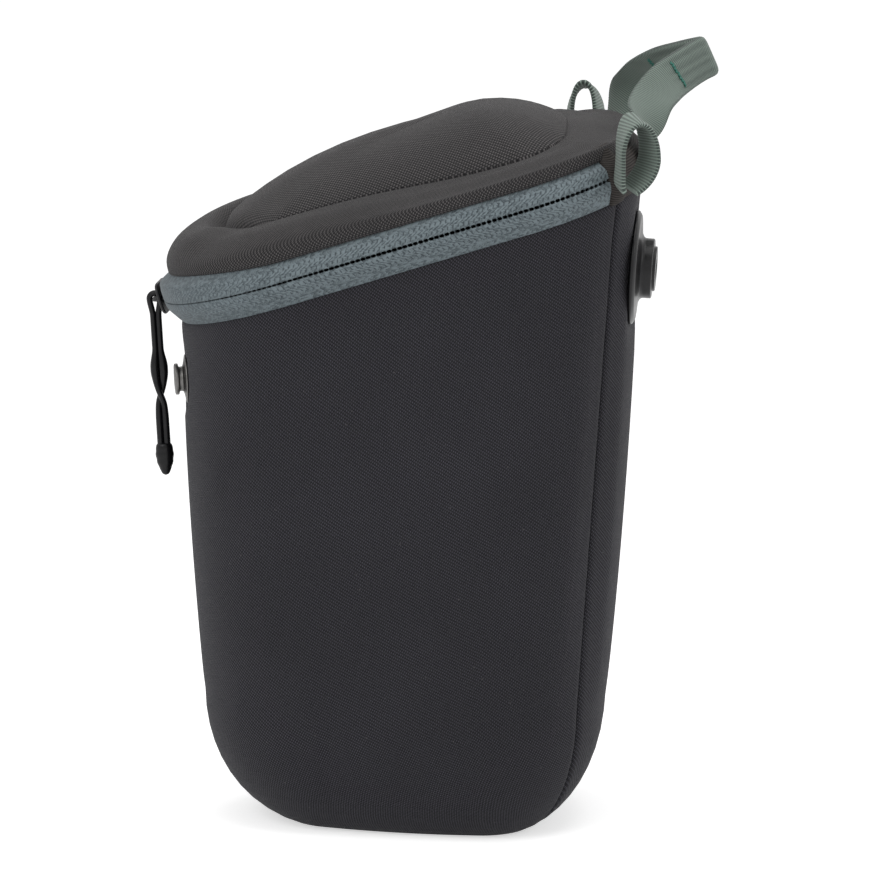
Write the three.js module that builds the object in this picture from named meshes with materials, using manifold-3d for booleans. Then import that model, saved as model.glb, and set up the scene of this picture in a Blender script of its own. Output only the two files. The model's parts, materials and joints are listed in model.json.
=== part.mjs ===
// A padded camera insert: a tapered D-shaped bucket with a sloping zip-round lid, a webbing handle and press studs.
// Millimetres. X runs across the bag, -Y is its front and +Z is up.
// The origin is on the underside of the base, in the middle of its width.
import * as THREE from "three";
import { mergeVertices } from "three/addons/utils/BufferGeometryUtils.js";
import Module from "manifold-3d";

const wasm = await Module();
wasm.setup();

// Rim: the line of the zip, an outline in a plane that slopes up to the back
const rimFrontY = -75;
const rimFrontZ = 162.8;
const rimSlopeDegrees = 17.8;
const rimFrontRadius = 46;
const rimBackDepth = 108.6;
const rimBackHalfWidth = 63;
const rimCornerRadius = 34;

// Foot: the level outline where the walls begin to round under
const footFrontY = -63.3;
const footHeight = 40;
const footFrontRadius = 40;
const footBackDepth = 85.3;
const footBackHalfWidth = 54;
const footCornerRadius = 24;
const footDrawIn = 16;
const footBackDrawIn = 5;

// Both outlines: the back is a shallow arc at a depth behind the front arc's middle.
// A seam on each back corner parts the side wrap from the back panel.
const backArcDegrees = 14;
const seamDegrees = 44;

// Layers of the padded wall, from the outside in
const clearance = 0.3;
const shellFabric = 1.2;
const wallFoam = 6.5;
const stiffenerBoard = 1.2;
const liningFabric = 0.8;
const bindingTape = 1;

// Zip
const tapeWidth = 7.4;
const tapeThickness = 0.9;
const tapeDrawIn = 3.5;
const slitHalfWidth = 0.55;
const coilWidth = 2.6;
const coilDepth = 1.6;
const toothPitch = 6;
const toothRelief = 0.6;
const tapeFacet = 8;

// Lid
const lidTop = 20;
const lidWallTop = 10.5;
const lidEdgeInset = 1.4;
const lidLean = 4.6;
const shoulderWidth = 9;
const grooveInset = 19;
const grooveDepth = 2.5;
const panelDome = 11;
const backDrop = 7;
const lidFoam = 5;

// Zip slider and its twisted pull
const sliderLength = 15;
const sliderWidth = 10;
const plateThickness = 0.8;
const sliderGap = 0.7;
const postThickness = 0.5;
const barRadius = 0.6;
const barLength = 6;
const sliderParkDegrees = -14;
const pullLeanDegrees = 5;
const cordRadius = 0.8;
const cordDrop = 44;
const gripLength = 11;
const gripWidth = 5.2;

// Front press stud
const studFlangeRadius = 7.5;
const studHeadRadius = 4.8;
const studNeckRadius = 3.6;
const studHeight = 3;
const studPostRadius = 2;
const studWasherRadius = 6.5;
const studDrop = 24.4;

// Back buttons, one on each side of the back panel
const buttonFlangeRadius = 17.5;
const buttonBossRadius = 9.2;
const buttonTipRadius = 6.9;
const buttonHeight = 7.2;
const buttonPostRadius = 4;
const buttonWasherRadius = 11;
const buttonInset = 31;
const buttonDrop = 34.8;
const washerThickness = 1.2;

// Webbing: a loop on each back corner, and a carrying handle between them
const webbingThickness = 1.8;
const webbingLift = 4.5;
const loopWidth = 12;
const loopHeight = 24;
const loopDepth = 11;
const loopInset = 1.2;
const loopTurnDegrees = 22;
const loopToHandle = 12;
const handleWidth = 13.5;
const handleGripWidth = 13;
const handleGripThickness = 3.8;
const handleReach = 24.7;
const handleRise = 31.6;

// Worked-out values
const rad = THREE.MathUtils.degToRad;
const lerp = THREE.MathUtils.lerp;
const rimSlope = rad(rimSlopeDegrees);
const rimLength = rimFrontRadius + rimBackDepth;
const footLength = footFrontRadius + footBackDepth;
const studZ = rimFrontZ - studDrop;
const buttonZ = rimFrontZ + rimLength * Math.sin(rimSlope) - buttonDrop;
const padDepth = shellFabric + clearance + wallFoam;
const liningDepth = padDepth + clearance + liningFabric;
const tapeEdge = slitHalfWidth + tapeWidth;
const fabricEdge = tapeEdge + clearance;

// Colours and finishes
const finish = (color, roughness, metalness = 0) => new THREE.MeshStandardMaterial({ color, roughness, metalness });
const materials = {
  shell: finish(0x2b2a2e, 0.85),
  foam: finish(0x55565a, 0.95),
  lining: finish(0x6f7478, 0.9),
  board: finish(0x1c1c1e, 0.5),
  tape: finish(0x5f7078, 0.8),
  coil: finish(0x3b474e, 0.5),
  webbing: finish(0x5d7068, 0.85),
  metal: finish(0x4a4a4c, 0.35, 0.9),
  rubber: finish(0x121214, 0.5),
  plastic: finish(0x2a2b2d, 0.35),
};

const model = new THREE.Group();
const bucket = new THREE.Group();
const lid = new THREE.Group();
const slider = new THREE.Group();
const pull = new THREE.Group();
model.add(bucket, lid);

function addPiece(group, name, geometry, material) {
  const mesh = new THREE.Mesh(geometry, material);
  mesh.name = name;
  group.add(mesh);
  return mesh;
}

// Solids

// A closed body from points and faces, turned so that its faces point out.
function closedBody(points, faces) {
  let sixVolumes = 0;
  for (const [a, b, c] of faces) sixVolumes += points[a].dot(points[b].clone().cross(points[c]));
  const outward = sixVolumes < 0 ? faces.map(([a, b, c]) => [a, c, b]) : faces;
  const geometry = new THREE.BufferGeometry().setFromPoints(points);
  geometry.setIndex(outward.flat());
  return geometry;
}

// A sheet between two grids of points, rows first. A ring joins its last column to its first.
// A capped sheet closes over its last row, as a cup's bottom does.
function sheet(outer, inner, { ring = false, capped = false } = {}) {
  const rows = outer.length;
  const columns = outer[0].length;
  const points = [...outer.flat(), ...inner.flat()];
  const faces = [];
  const out = (row, column) => row * columns + (column % columns);
  const into = (row, column) => rows * columns + out(row, column);
  const quad = (a, b, c, d) => faces.push([a, b, c], [a, c, d]);
  const spans = ring ? columns : columns - 1;
  const last = rows - 1;
  for (let c = 0; c < spans; c++) {
    for (let r = 0; r < last; r++) {
      quad(out(r, c), out(r, c + 1), out(r + 1, c + 1), out(r + 1, c));
      quad(into(r, c), into(r + 1, c), into(r + 1, c + 1), into(r, c + 1));
    }
    quad(out(0, c + 1), out(0, c), into(0, c), into(0, c + 1));
    if (!capped) quad(out(last, c), out(last, c + 1), into(last, c + 1), into(last, c));
  }
  if (capped) {
    const centres = [outer[last], inner[last]].map((row) => {
      const sum = row.reduce((total, p) => total.add(p), new THREE.Vector3());
      return points.push(sum.divideScalar(columns)) - 1;
    });
    for (let c = 0; c < columns; c++) {
      faces.push([out(last, c), out(last, c + 1), centres[0]]);
      faces.push([into(last, c + 1), into(last, c), centres[1]]);
    }
  }
  if (!ring) {
    const end = columns - 1;
    for (let r = 0; r < last; r++) {
      quad(out(r, 0), out(r + 1, 0), into(r + 1, 0), into(r, 0));
      quad(out(r + 1, end), out(r, end), into(r, end), into(r + 1, end));
    }
  }
  return closedBody(points, faces);
}

// A flat plate with the outline of a ring of points, between two heights.
function plate(ring, low, high) {
  const at = (z) => ring.map((p) => new THREE.Vector3(p.x, p.y, z));
  const lower = at(low);
  const upper = at(high);
  const n = ring.length;
  const faces = [];
  for (let i = 0; i < n; i++) {
    const j = (i + 1) % n;
    faces.push([i, j, n + j], [i, n + j, n + i], [j, i, 2 * n], [n + i, n + j, 2 * n + 1]);
  }
  const middle = ring.reduce((sum, p) => sum.add(p), new THREE.Vector3()).divideScalar(n);
  const centres = [low, high].map((z) => new THREE.Vector3(middle.x, middle.y, z));
  return closedBody([...lower, ...upper, ...centres], faces);
}

// A bar swept through cross-sections that each have the same number of points.
function sweep(sections) {
  const sides = sections[0].length;
  const points = sections.flat();
  const faces = [];
  for (let s = 0; s + 1 < sections.length; s++) {
    for (let i = 0; i < sides; i++) {
      const j = (i + 1) % sides;
      const [a, b] = [s * sides, (s + 1) * sides];
      faces.push([a + i, a + j, b + j], [a + i, b + j, b + i]);
    }
  }
  const end = (sections.length - 1) * sides;
  for (let i = 1; i + 1 < sides; i++) faces.push([0, i + 1, i], [end, end + i, end + i + 1]);
  return closedBody(points, faces);
}

// A round tube along points, its section carried along without twisting.
function tube(path, radius, sides) {
  let side = new THREE.Vector3(0, 1, 0);
  const sections = path.map((p, i) => {
    const ahead = path[Math.min(i + 1, path.length - 1)];
    const along = ahead.clone().sub(path[Math.max(i - 1, 0)]).normalize();
    side = side.clone().addScaledVector(along, -side.dot(along)).normalize();
    const across = along.clone().cross(side);
    return Array.from({ length: sides }, (_, k) => {
      const turn = (2 * Math.PI * k) / sides;
      const reach = side.clone().multiplyScalar(radius * Math.cos(turn));
      return p.clone().add(reach).addScaledVector(across, radius * Math.sin(turn));
    });
  });
  return sweep(sections);
}

// A turned piece: radius and height pairs about +Z, from the axis back to the axis.
function turned(profile) {
  const points = profile.map(([radius, height]) => new THREE.Vector2(radius, height));
  return new THREE.LatheGeometry(points, 20).rotateX(Math.PI / 2);
}

function asSolid(geometry, matrix) {
  const bare = geometry.index ? geometry.toNonIndexed() : geometry.clone();
  bare.deleteAttribute("normal");
  bare.deleteAttribute("uv");
  if (matrix) bare.applyMatrix4(matrix);
  const merged = mergeVertices(bare, 1e-4);
  const solid = new wasm.Manifold(
    new wasm.Mesh({
      numProp: 3,
      vertProperties: merged.attributes.position.array,
      triVerts: new Uint32Array(merged.index.array),
    }),
  );
  return solid;
}

function asGeometry(solid) {
  const { vertProperties, triVerts, numProp } = solid.getMesh();
  const geometry = new THREE.BufferGeometry();
  const positions = new Float32Array((vertProperties.length / numProp) * 3);
  for (let i = 0; i * numProp < vertProperties.length; i++) {
    positions.set(vertProperties.subarray(i * numProp, i * numProp + 3), i * 3);
  }
  geometry.setAttribute("position", new THREE.BufferAttribute(positions, 3));
  geometry.setIndex(Array.from(triVerts));
  return geometry;
}

// A cylinder along a frame's +Z between two heights, used as a cutter.
function drill(frame, radius, low, high) {
  const rod = new THREE.CylinderGeometry(radius, radius, high - low, 20);
  rod.rotateX(Math.PI / 2).translate(0, 0, (low + high) / 2);
  return asSolid(rod, frame);
}

const cut = (geometry, cutters) => asGeometry(cutters.reduce((s, c) => s.subtract(c), asSolid(geometry)));

// Outlines

// An outline is a large front arc, two side lines, two back corners and a shallow back arc, all tangent.
// Taking the same inset off every radius gives a parallel outline, so every layer of the wall follows it.
function outline(frontRadius, backHalfWidth, cornerRadius, length) {
  const backArc = rad(backArcDegrees);
  const cornerU = backHalfWidth - cornerRadius;
  const backRadius = cornerRadius + cornerU / Math.sin(backArc);
  const cornerV = length - backRadius + (backRadius - cornerRadius) * Math.cos(backArc);
  const away = Math.hypot(cornerU, cornerV - frontRadius);
  const bearing = Math.atan2(cornerV - frontRadius, cornerU);
  const sideNormal = bearing - Math.acos(Math.min(1, (frontRadius - cornerRadius) / away));
  const backV = length - backRadius;
  return { frontRadius, cornerRadius, cornerU, cornerV, backRadius, backV, backArc, sideNormal };
}

const arcPoint = (u, v, radius, angle) => [u + radius * Math.cos(angle), v + radius * Math.sin(angle)];
const mirrored = (side, [u, v]) => [side * u, v];

// Places on an outline: each takes an outline and an inset, and gives its point there.
const onFront = (f) => (o, inset) =>
  arcPoint(0, o.frontRadius, o.frontRadius - inset, lerp(o.sideNormal, -Math.PI - o.sideNormal, f));
const onCorner = (side, angleOf) => (o, inset) =>
  mirrored(side, arcPoint(o.cornerU, o.cornerV, o.cornerRadius - inset, angleOf(o)));
const onBack = (f) => (o, inset) =>
  arcPoint(0, o.backV, o.backRadius - inset, Math.PI / 2 + lerp(o.backArc, -o.backArc, f));
const onSide = (side, f) => (o, inset) => {
  const [a, b] = arcPoint(o.cornerU, o.cornerV, o.cornerRadius - inset, o.sideNormal);
  const [c, d] = arcPoint(0, o.frontRadius, o.frontRadius - inset, o.sideNormal);
  return mirrored(side, [lerp(a, c, f), lerp(b, d, f)]);
};

const steps = (count, from = 0) => Array.from({ length: count + 1 - from }, (_, i) => (i + from) / count);
const seamAngle = rad(seamDegrees);

// The wrap runs from the +X seam round the front to the -X seam.
function wrapPlaces({ corner, side, front }) {
  const toSide = (f) => (o) => lerp(seamAngle, o.sideNormal, f);
  return [
    ...steps(corner).map((f) => onCorner(1, toSide(f))),
    ...steps(side, 1).slice(0, -1).map((f) => onSide(1, f)),
    ...steps(front).map((f) => onFront(f)),
    ...steps(side, 1).slice(0, -1).map((f) => onSide(-1, 1 - f)),
    ...steps(corner).map((f) => onCorner(-1, toSide(1 - f))),
  ];
}

// The back runs from the -X seam to the +X seam, and stops short of both by the seam gap.
function backPlaces(corner, back, seamGap) {
  const toBack = (f) => (o) => lerp(seamAngle + seamGap / o.cornerRadius, Math.PI / 2 - o.backArc, f);
  return [
    ...steps(corner).map((f) => onCorner(-1, toBack(f))),
    ...steps(back, 1).slice(0, -1).map((f) => onBack(f)),
    ...steps(corner).map((f) => onCorner(1, toBack(1 - f))),
  ];
}

const wrap = wrapPlaces({ corner: 3, side: 1, front: 18 });
const back = backPlaces(3, 4, clearance);
const around = [...wrap, ...backPlaces(3, 4, 0).slice(1, -1)];
const baseEdge = [...wrapPlaces({ corner: 1, side: 1, front: 6 }), ...backPlaces(1, 1, 0).slice(1, -1)];

const rim = outline(rimFrontRadius, rimBackHalfWidth, rimCornerRadius, rimLength);
const foot = outline(footFrontRadius, footBackHalfWidth, footCornerRadius, footLength);

// The frame of the rim plane: u across, v up the slope from the front, n square to the plane.
const rimFrame = new THREE.Matrix4().makeRotationX(rimSlope).setPosition(0, rimFrontY, rimFrontZ);
const rimPoint = (place, inset, n) => {
  const [u, v] = place(rim, inset);
  return new THREE.Vector3(u, v, n);
};
const footPoint = (place, inset, z) => {
  const [u, v] = place(foot, inset);
  return new THREE.Vector3(u, footFrontY + v, z);
};
lid.applyMatrix4(rimFrame);

// Bucket walls

const underTurns = [0.33, 0.67, 1].map((f) => (f * Math.PI) / 2);

// A point of the straight wall at a depth below its outer face, from the foot line (0) to the rim edge (1).
function wallPoint(place, depth, height) {
  const top = rimPoint(place, tapeDrawIn + depth, -fabricEdge).applyMatrix4(rimFrame);
  return footPoint(place, depth, footHeight).lerp(top, height);
}

// How far the wall rounds in under the foot: further at the back than at the front.
function drawIn(place) {
  const backward = place(foot, 0)[1] - place(foot, 1)[1];
  return footDrawIn + footBackDrawIn * Math.max(0, backward) ** 2;
}

// Rows of a wall layer from the rim edge down to where the wall has rounded under the foot.
function wallRows(places, depth, roundsUnder = true) {
  const straight = [1, 0].map((height) => places.map((place) => wallPoint(place, depth, height)));
  if (!roundsUnder) return straight;
  const under = underTurns.map((turn) => {
    const inset = (place) => drawIn(place) - (drawIn(place) - depth) * Math.cos(turn);
    const z = footHeight - (footHeight - depth) * Math.sin(turn);
    return places.map((place) => footPoint(place, inset(place), z));
  });
  return [...straight, ...under];
}

const wallLayer = (places, from, to, options = {}) =>
  sheet(wallRows(places, from, options.roundsUnder), wallRows(places, to, options.roundsUnder), options);

// A frame on the outer wall at a fraction of the front or back arc and a height, with its +Z square to the wall.
function wallFrame(placeAt, f, z) {
  const wallAt = (fraction) => {
    const low = wallPoint(placeAt(fraction), 0, 0);
    const high = wallPoint(placeAt(fraction), 0, 1);
    return low.lerp(high, (z - low.z) / (high.z - low.z));
  };
  const at = wallAt(f);
  const along = wallAt(f + 0.01).sub(wallAt(f - 0.01));
  const up = wallPoint(placeAt(f), 0, 1).sub(wallPoint(placeAt(f), 0, 0)).normalize();
  const normal = up.clone().cross(along).normalize();
  const across = up.clone().cross(normal);
  return new THREE.Matrix4().makeBasis(across, up, normal).setPosition(at);
}

const studFrame = wallFrame(onFront, 0.5, studZ);

// The fraction along the back arc where a button sits, from its X.
const backFraction = (x) => (1 + Math.asin(x / rim.backRadius) / rim.backArc) / 2;
const buttonX = rimBackHalfWidth - buttonInset;
const buttonFrames = [-1, 1].map((side) => wallFrame(onBack, backFraction(side * buttonX), buttonZ));

// How far a press fastener's washer lies below the outer face: the curved wall bows behind it.
const wallBow = (radius, curve) => clearance + radius ** 2 / (2 * curve);
const washerTop = -(shellFabric + clearance + wallBow(studWasherRadius, footFrontRadius));
const backBow = wallBow(buttonWasherRadius, rimCornerRadius - tapeDrawIn);
const boardWasherTop = -(shellFabric + stiffenerBoard + 2 * clearance + backBow);
const recessDepth = (top) => top - washerThickness - clearance;

function buildBucket() {
  const postHole = drill(studFrame, studPostRadius + clearance, -padDepth, studHeight);
  const studRecess = drill(studFrame, studWasherRadius + clearance, recessDepth(washerTop), 0);
  const buttonHoles = buttonFrames.map((f) => drill(f, buttonPostRadius + clearance, -padDepth, buttonHeight));
  const buttonRecesses = buttonFrames.map((f) =>
    drill(f, buttonWasherRadius + clearance, recessDepth(boardWasherTop), 0),
  );
  const boardFrom = shellFabric + clearance;
  const boardTo = boardFrom + stiffenerBoard;

  const wrapShell = cut(wallLayer(wrap, 0, shellFabric), [postHole]);
  addPiece(bucket, "side_wrap", wrapShell, materials.shell);
  addPiece(bucket, "back_panel", cut(wallLayer(back, 0, shellFabric), buttonHoles), materials.shell);
  const basePlate = plate(
    baseEdge.map((place) => footPoint(place, drawIn(place) + clearance, 0)),
    0,
    shellFabric,
  );
  addPiece(bucket, "base_panel", basePlate, materials.shell);

  const wrapFoam = cut(wallLayer(wrap, boardFrom, padDepth), [studRecess]);
  addPiece(bucket, "wall_foam", wrapFoam, materials.foam);
  const board = cut(wallLayer(back, boardFrom, boardTo, { roundsUnder: false }), buttonHoles);
  addPiece(bucket, "back_board", board, materials.board);
  const backFoam = cut(wallLayer(back, boardTo + clearance, padDepth), buttonRecesses);
  addPiece(bucket, "back_foam", backFoam, materials.foam);
  const baseFoam = plate(
    around.map((place) => footPoint(place, drawIn(place) + clearance, 0)),
    boardFrom,
    padDepth,
  );
  addPiece(bucket, "base_foam", baseFoam, materials.foam);
  const lining = wallLayer(around, padDepth + clearance, liningDepth, { ring: true, capped: true });
  addPiece(bucket, "lining", lining, materials.lining);

  const bindingRows = (inset) =>
    [0, bindingTape].map((rise) =>
      around.map((place) =>
        rimPoint(place, tapeDrawIn + inset, clearance - fabricEdge + rise).applyMatrix4(rimFrame),
      ),
    );
  const binding = sheet(bindingRows(boardFrom), bindingRows(liningDepth), { ring: true });
  addPiece(bucket, "rim_binding", binding, materials.lining);
}

// Press fasteners

function buildStud() {
  const stud = new THREE.Group();
  stud.applyMatrix4(studFrame);
  const flangeTop = clearance + 0.8;
  const profile = [
    [0, washerTop - washerThickness],
    [studPostRadius, washerTop - washerThickness],
    [studPostRadius, clearance],
    [studFlangeRadius, clearance],
    [studFlangeRadius, clearance + 0.3],
    [studNeckRadius + 0.8, flangeTop],
    [studNeckRadius, flangeTop + 0.4],
    [studNeckRadius, studHeight - 1.1],
    [studHeadRadius, studHeight - 0.8],
    [studHeadRadius, studHeight - 0.25],
    [studHeadRadius - 0.5, studHeight],
    [0, studHeight],
  ];
  addPiece(stud, "front_stud", turned(profile), materials.metal);
  addPiece(stud, "front_stud_washer", washer(studPostRadius, studWasherRadius, washerTop), materials.metal);
  bucket.add(stud);
}

function washer(postRadius, radius, top) {
  const inner = postRadius + clearance;
  const low = top - washerThickness;
  return turned([
    [inner, low],
    [radius, low],
    [radius, top],
    [inner, top],
    [inner, low],
  ]);
}

function buildButtons() {
  buttonFrames.forEach((frame, i) => {
    const side = i ? "right" : "left";
    const button = new THREE.Group();
    button.applyMatrix4(frame);
    const dish = clearance + 2.1;
    const bossTop = buttonHeight - 1;
    const profile = [
      [0, boardWasherTop - washerThickness],
      [buttonPostRadius, boardWasherTop - washerThickness],
      [buttonPostRadius, clearance],
      [buttonFlangeRadius, clearance],
      [buttonFlangeRadius, clearance + 0.7],
      [buttonFlangeRadius - 1.6, clearance + 1.5],
      [buttonBossRadius + 1.2, dish],
      [buttonBossRadius + 0.3, dish + 0.5],
      [buttonBossRadius, dish + 1.2],
      [buttonBossRadius, bossTop - 0.4],
      [buttonBossRadius - 0.4, bossTop],
      [buttonTipRadius, bossTop],
      [buttonTipRadius, buttonHeight - 0.2],
      [buttonTipRadius - 0.3, buttonHeight],
      [0, buttonHeight],
    ];
    const washerSolid = washer(buttonPostRadius, buttonWasherRadius, boardWasherTop);
    addPiece(button, `back_button_${side}`, turned(profile), materials.plastic);
    addPiece(button, `back_button_washer_${side}`, washerSolid, materials.plastic);
    bucket.add(button);
  });
}

// Zip

const rimArc = rim.frontRadius * (Math.PI + 2 * rim.sideNormal);
const zipPath = wrapPlaces({ corner: 4, side: 1, front: Math.ceil(rimArc / tapeFacet) });

// Rows of a tape or hinge strip: pairs of inset and height above the rim plane.
const stripRows = (places, levels, depth) =>
  levels.map(([inset, n]) => places.map((place) => rimPoint(place, inset + depth, n)));
const strip = (places, levels, thickness) =>
  sheet(stripRows(places, levels, 0), stripRows(places, levels, thickness));

// The lower strip leans out from the wall's edge to the slit, and the upper one stands almost straight.
const lowerLevels = [
  [tapeDrawIn, -tapeEdge],
  [tapeDrawIn / 3, -(slitHalfWidth + tapeWidth / 2)],
  [0, -slitHalfWidth],
];
const upperLevels = [
  [0, slitHalfWidth],
  [0, slitHalfWidth + tapeWidth / 2],
  [lidEdgeInset, tapeEdge],
];

// A row of teeth on the inner face of a tape, beside the slit. Every other step is a gap.
function coil(side) {
  const away = Math.hypot(rim.cornerU, rim.cornerV - rim.frontRadius);
  const run = Math.sqrt(Math.max(0, away ** 2 - (rim.frontRadius - rim.cornerRadius) ** 2));
  const turn = rim.cornerRadius * (seamAngle - rim.sideNormal);
  const halfPitches = (length) => 2 * Math.max(1, Math.round(length / toothPitch));
  const path = wrapPlaces({ corner: halfPitches(turn), side: halfPitches(run), front: halfPitches(rimArc) });
  const relief = (i) => (i % 2 ? toothRelief : 0);
  const reach = Math.min(clearance + toothRelief + coilWidth, tapeWidth / 2);
  const lean = side < 0 ? (tapeDrawIn / 3) * (reach / (tapeWidth / 2)) : 0;
  const nearSlit = (i) => side * (slitHalfWidth + clearance + relief(i));
  const farEdge = side * (slitHalfWidth + reach);
  const seat = tapeThickness + clearance;
  const outer = [
    path.map((place, i) => rimPoint(place, seat + lean, nearSlit(i))),
    path.map((place) => rimPoint(place, seat + lean, farEdge)),
  ];
  const inner = [
    path.map((place, i) => rimPoint(place, seat + coilDepth - relief(i) / 2, nearSlit(i))),
    path.map((place, i) => rimPoint(place, seat + lean + coilDepth - relief(i) / 2, farEdge)),
  ];
  return sheet(outer, inner);
}

function buildZip() {
  const lower = new THREE.Group();
  lower.applyMatrix4(rimFrame);
  bucket.add(lower);
  const hinge = backPlaces(4, 6, clearance);
  addPiece(lower, "lower_zip_tape", strip(zipPath, lowerLevels, tapeThickness), materials.tape);
  addPiece(lower, "lower_zip_coil", coil(-1), materials.coil);
  addPiece(lower, "hinge_strip_body", strip(hinge, lowerLevels, tapeThickness), materials.shell);
  addPiece(lid, "upper_zip_tape", strip(zipPath, upperLevels, tapeThickness), materials.tape);
  addPiece(lid, "upper_zip_coil", coil(1), materials.coil);
  addPiece(lid, "hinge_strip_lid", strip(hinge, upperLevels, tapeThickness), materials.shell);
}

// Lid

const smooth = (low, high, x) => THREE.MathUtils.smoothstep(x, low, high);

// The lid grows thinner towards the hinge.
function thinning(p) {
  const side = smooth(0.2 * rimBackHalfWidth, 0.8 * rimBackHalfWidth, Math.abs(p.x));
  return backDrop * side * smooth(0, 0.7 * rimLength, p.y);
}

// A row of a lid layer: an inset ring at a height, lowered by a share of the thinning.
function lidRow(places, inset, height, depth) {
  const share = smooth(fabricEdge, lidTop - depth, height);
  return places.map((place) => {
    const p = rimPoint(place, inset, height);
    p.z -= share * thinning(p);
    return p;
  });
}

// Rows up the lid's side, over its padded border and down into the groove, at a depth below its outer face.
function borderRows(places, depth, turns) {
  const ceiling = lidTop - depth;
  const wallTop = Math.max(fabricEdge + clearance, Math.min(lidWallTop, ceiling - 1));
  const topInset = lidLean + shoulderWidth;
  const wall = [lidRow(places, lidEdgeInset + depth, fabricEdge, depth)];
  const shoulder = steps(turns).map((f) => {
    const turn = (f * Math.PI) / 2;
    const inset = topInset - (shoulderWidth - depth) * Math.cos(turn);
    return lidRow(places, inset, lerp(wallTop, ceiling, Math.sin(turn)), depth);
  });
  const groove = [0.5, 1].map((f) => {
    const drop = (grooveDepth * (1 - Math.cos(Math.PI * f))) / 2;
    return lidRow(places, lerp(topInset, grooveInset, f), ceiling - drop, depth);
  });
  return [...wall, ...shoulder, ...groove];
}

// Rows of the domed middle, at shares of the way out from its centre to the groove.
function panelRows(places, depth, inset, shares) {
  const height = lidTop - depth - grooveDepth;
  const edge = lidRow(places, inset, height, depth);
  const centre = new THREE.Vector3(0, 0.65 * rimLength, 0);
  return shares.map((f) =>
    edge.map((p) => {
      const share = smooth(fabricEdge, lidTop - depth, height);
      const thinned = height - share * thinning(p) * f ** 3;
      return new THREE.Vector3(p.x * f, lerp(centre.y, p.y, f), thinned + panelDome * (1 - f ** 2.5));
    }),
  );
}

function lidLayer(from, to) {
  const rows = (depth) => [...borderRows(around, depth, 2), ...panelRows(around, depth, grooveInset, [0.62])];
  return sheet(rows(from), rows(to), { ring: true, capped: true });
}

function buildLid() {
  const foamFrom = shellFabric + clearance;
  const foamTo = foamFrom + lidFoam;
  const border = sheet(borderRows(around, 0, 4), borderRows(around, shellFabric, 4), { ring: true });
  addPiece(lid, "lid_border", border, materials.shell);
  const panelLayer = (depth) => panelRows(around, depth, grooveInset + clearance, [1, 0.8, 0.62, 0.35]);
  const panel = sheet(panelLayer(0), panelLayer(shellFabric), { ring: true, capped: true });
  addPiece(lid, "lid_panel", panel, materials.shell);
  addPiece(lid, "lid_foam", lidLayer(foamFrom, foamTo), materials.foam);
  addPiece(lid, "lid_lining", lidLayer(foamTo + clearance, foamTo + clearance + liningFabric), materials.lining);
}

// Slider and pull

// The slider turns about the middle of the rim's front arc, so it runs along the zip.
const plateOuter = sliderGap + plateThickness;
const cordRing = barRadius + clearance + cordRadius;
const barReach = plateOuter + clearance + cordRing + cordRadius;
const coilInner = tapeThickness + clearance + coilDepth + tapeDrawIn / 3;

function roundedPlate(length, width, corner, thickness) {
  const [a, b] = [length / 2 - corner, width / 2 - corner];
  const shape = new THREE.Shape();
  shape.absarc(a, b, corner, 0, Math.PI / 2);
  shape.absarc(-a, b, corner, Math.PI / 2, Math.PI);
  shape.absarc(-a, -b, corner, Math.PI, 1.5 * Math.PI);
  shape.absarc(a, -b, corner, 1.5 * Math.PI, 2 * Math.PI);
  return new THREE.ExtrudeGeometry(shape, { depth: thickness, bevelEnabled: false, curveSegments: 3 });
}

function sliderBody() {
  // Plates are drawn flat in x and y: turned upright, x runs along the zip, z across it and y into the bag.
  const upright = (offset) => new THREE.Matrix4().makeRotationX(Math.PI / 2).setPosition(0, offset, 0);
  const outerPlate = roundedPlate(sliderLength, sliderWidth, 3, plateThickness);
  const innerPlate = roundedPlate(sliderLength - 2, sliderWidth - 3, 2, plateThickness);
  const innerFrom = coilInner + sliderGap;
  const postLength = 2.4;
  const post = new THREE.BoxGeometry(postLength, innerFrom + sliderGap + plateThickness, postThickness);
  post.translate(sliderLength / 2 - postLength, (innerFrom - sliderGap) / 2, 0);
  const half = barLength / 2;
  const arch = new THREE.CatmullRomCurve3([
    new THREE.Vector3(-half - 1.6, -sliderGap - plateThickness / 2, 0),
    new THREE.Vector3(-half - 0.8, -barReach * 0.75, 0),
    new THREE.Vector3(-half + 0.6, -barReach, 0),
    new THREE.Vector3(half - 0.6, -barReach, 0),
    new THREE.Vector3(half + 0.8, -barReach * 0.75, 0),
    new THREE.Vector3(half + 1.6, -sliderGap - plateThickness / 2, 0),
  ]);
  const bail = tube(arch.getSpacedPoints(14), barRadius, 8);
  return asGeometry(
    asSolid(outerPlate, upright(-sliderGap))
      .add(asSolid(innerPlate, upright(innerFrom + plateThickness)))
      .add(asSolid(post))
      .add(asSolid(bail)),
  );
}

// The pull's two strands hang from the bar, twist half a turn round each other and end in the grip.
// Height runs down from the bar; strand +1 passes inside the bar and strand -1 outside it.
const twistFrom = 0.48 * cordDrop;
const twistTo = 0.82 * cordDrop;
const strandGap = 0.5;

function strandPoint(strand, drop) {
  const near = cordRadius + strandGap / 2;
  const eye = smooth(0.28, 0.5, drop / cordDrop) * (1 - smooth(0.5, 0.64, drop / cordDrop));
  const spread = lerp(lerp(cordRing, near, smooth(0, 0.22 * cordDrop, drop)), near * 1.7, eye);
  const turn = Math.PI * smooth(twistFrom, twistTo, drop) + Math.PI / 2;
  return new THREE.Vector3(
    strand * spread * Math.cos(turn),
    strand * spread * Math.sin(turn),
    -drop,
  );
}

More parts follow.
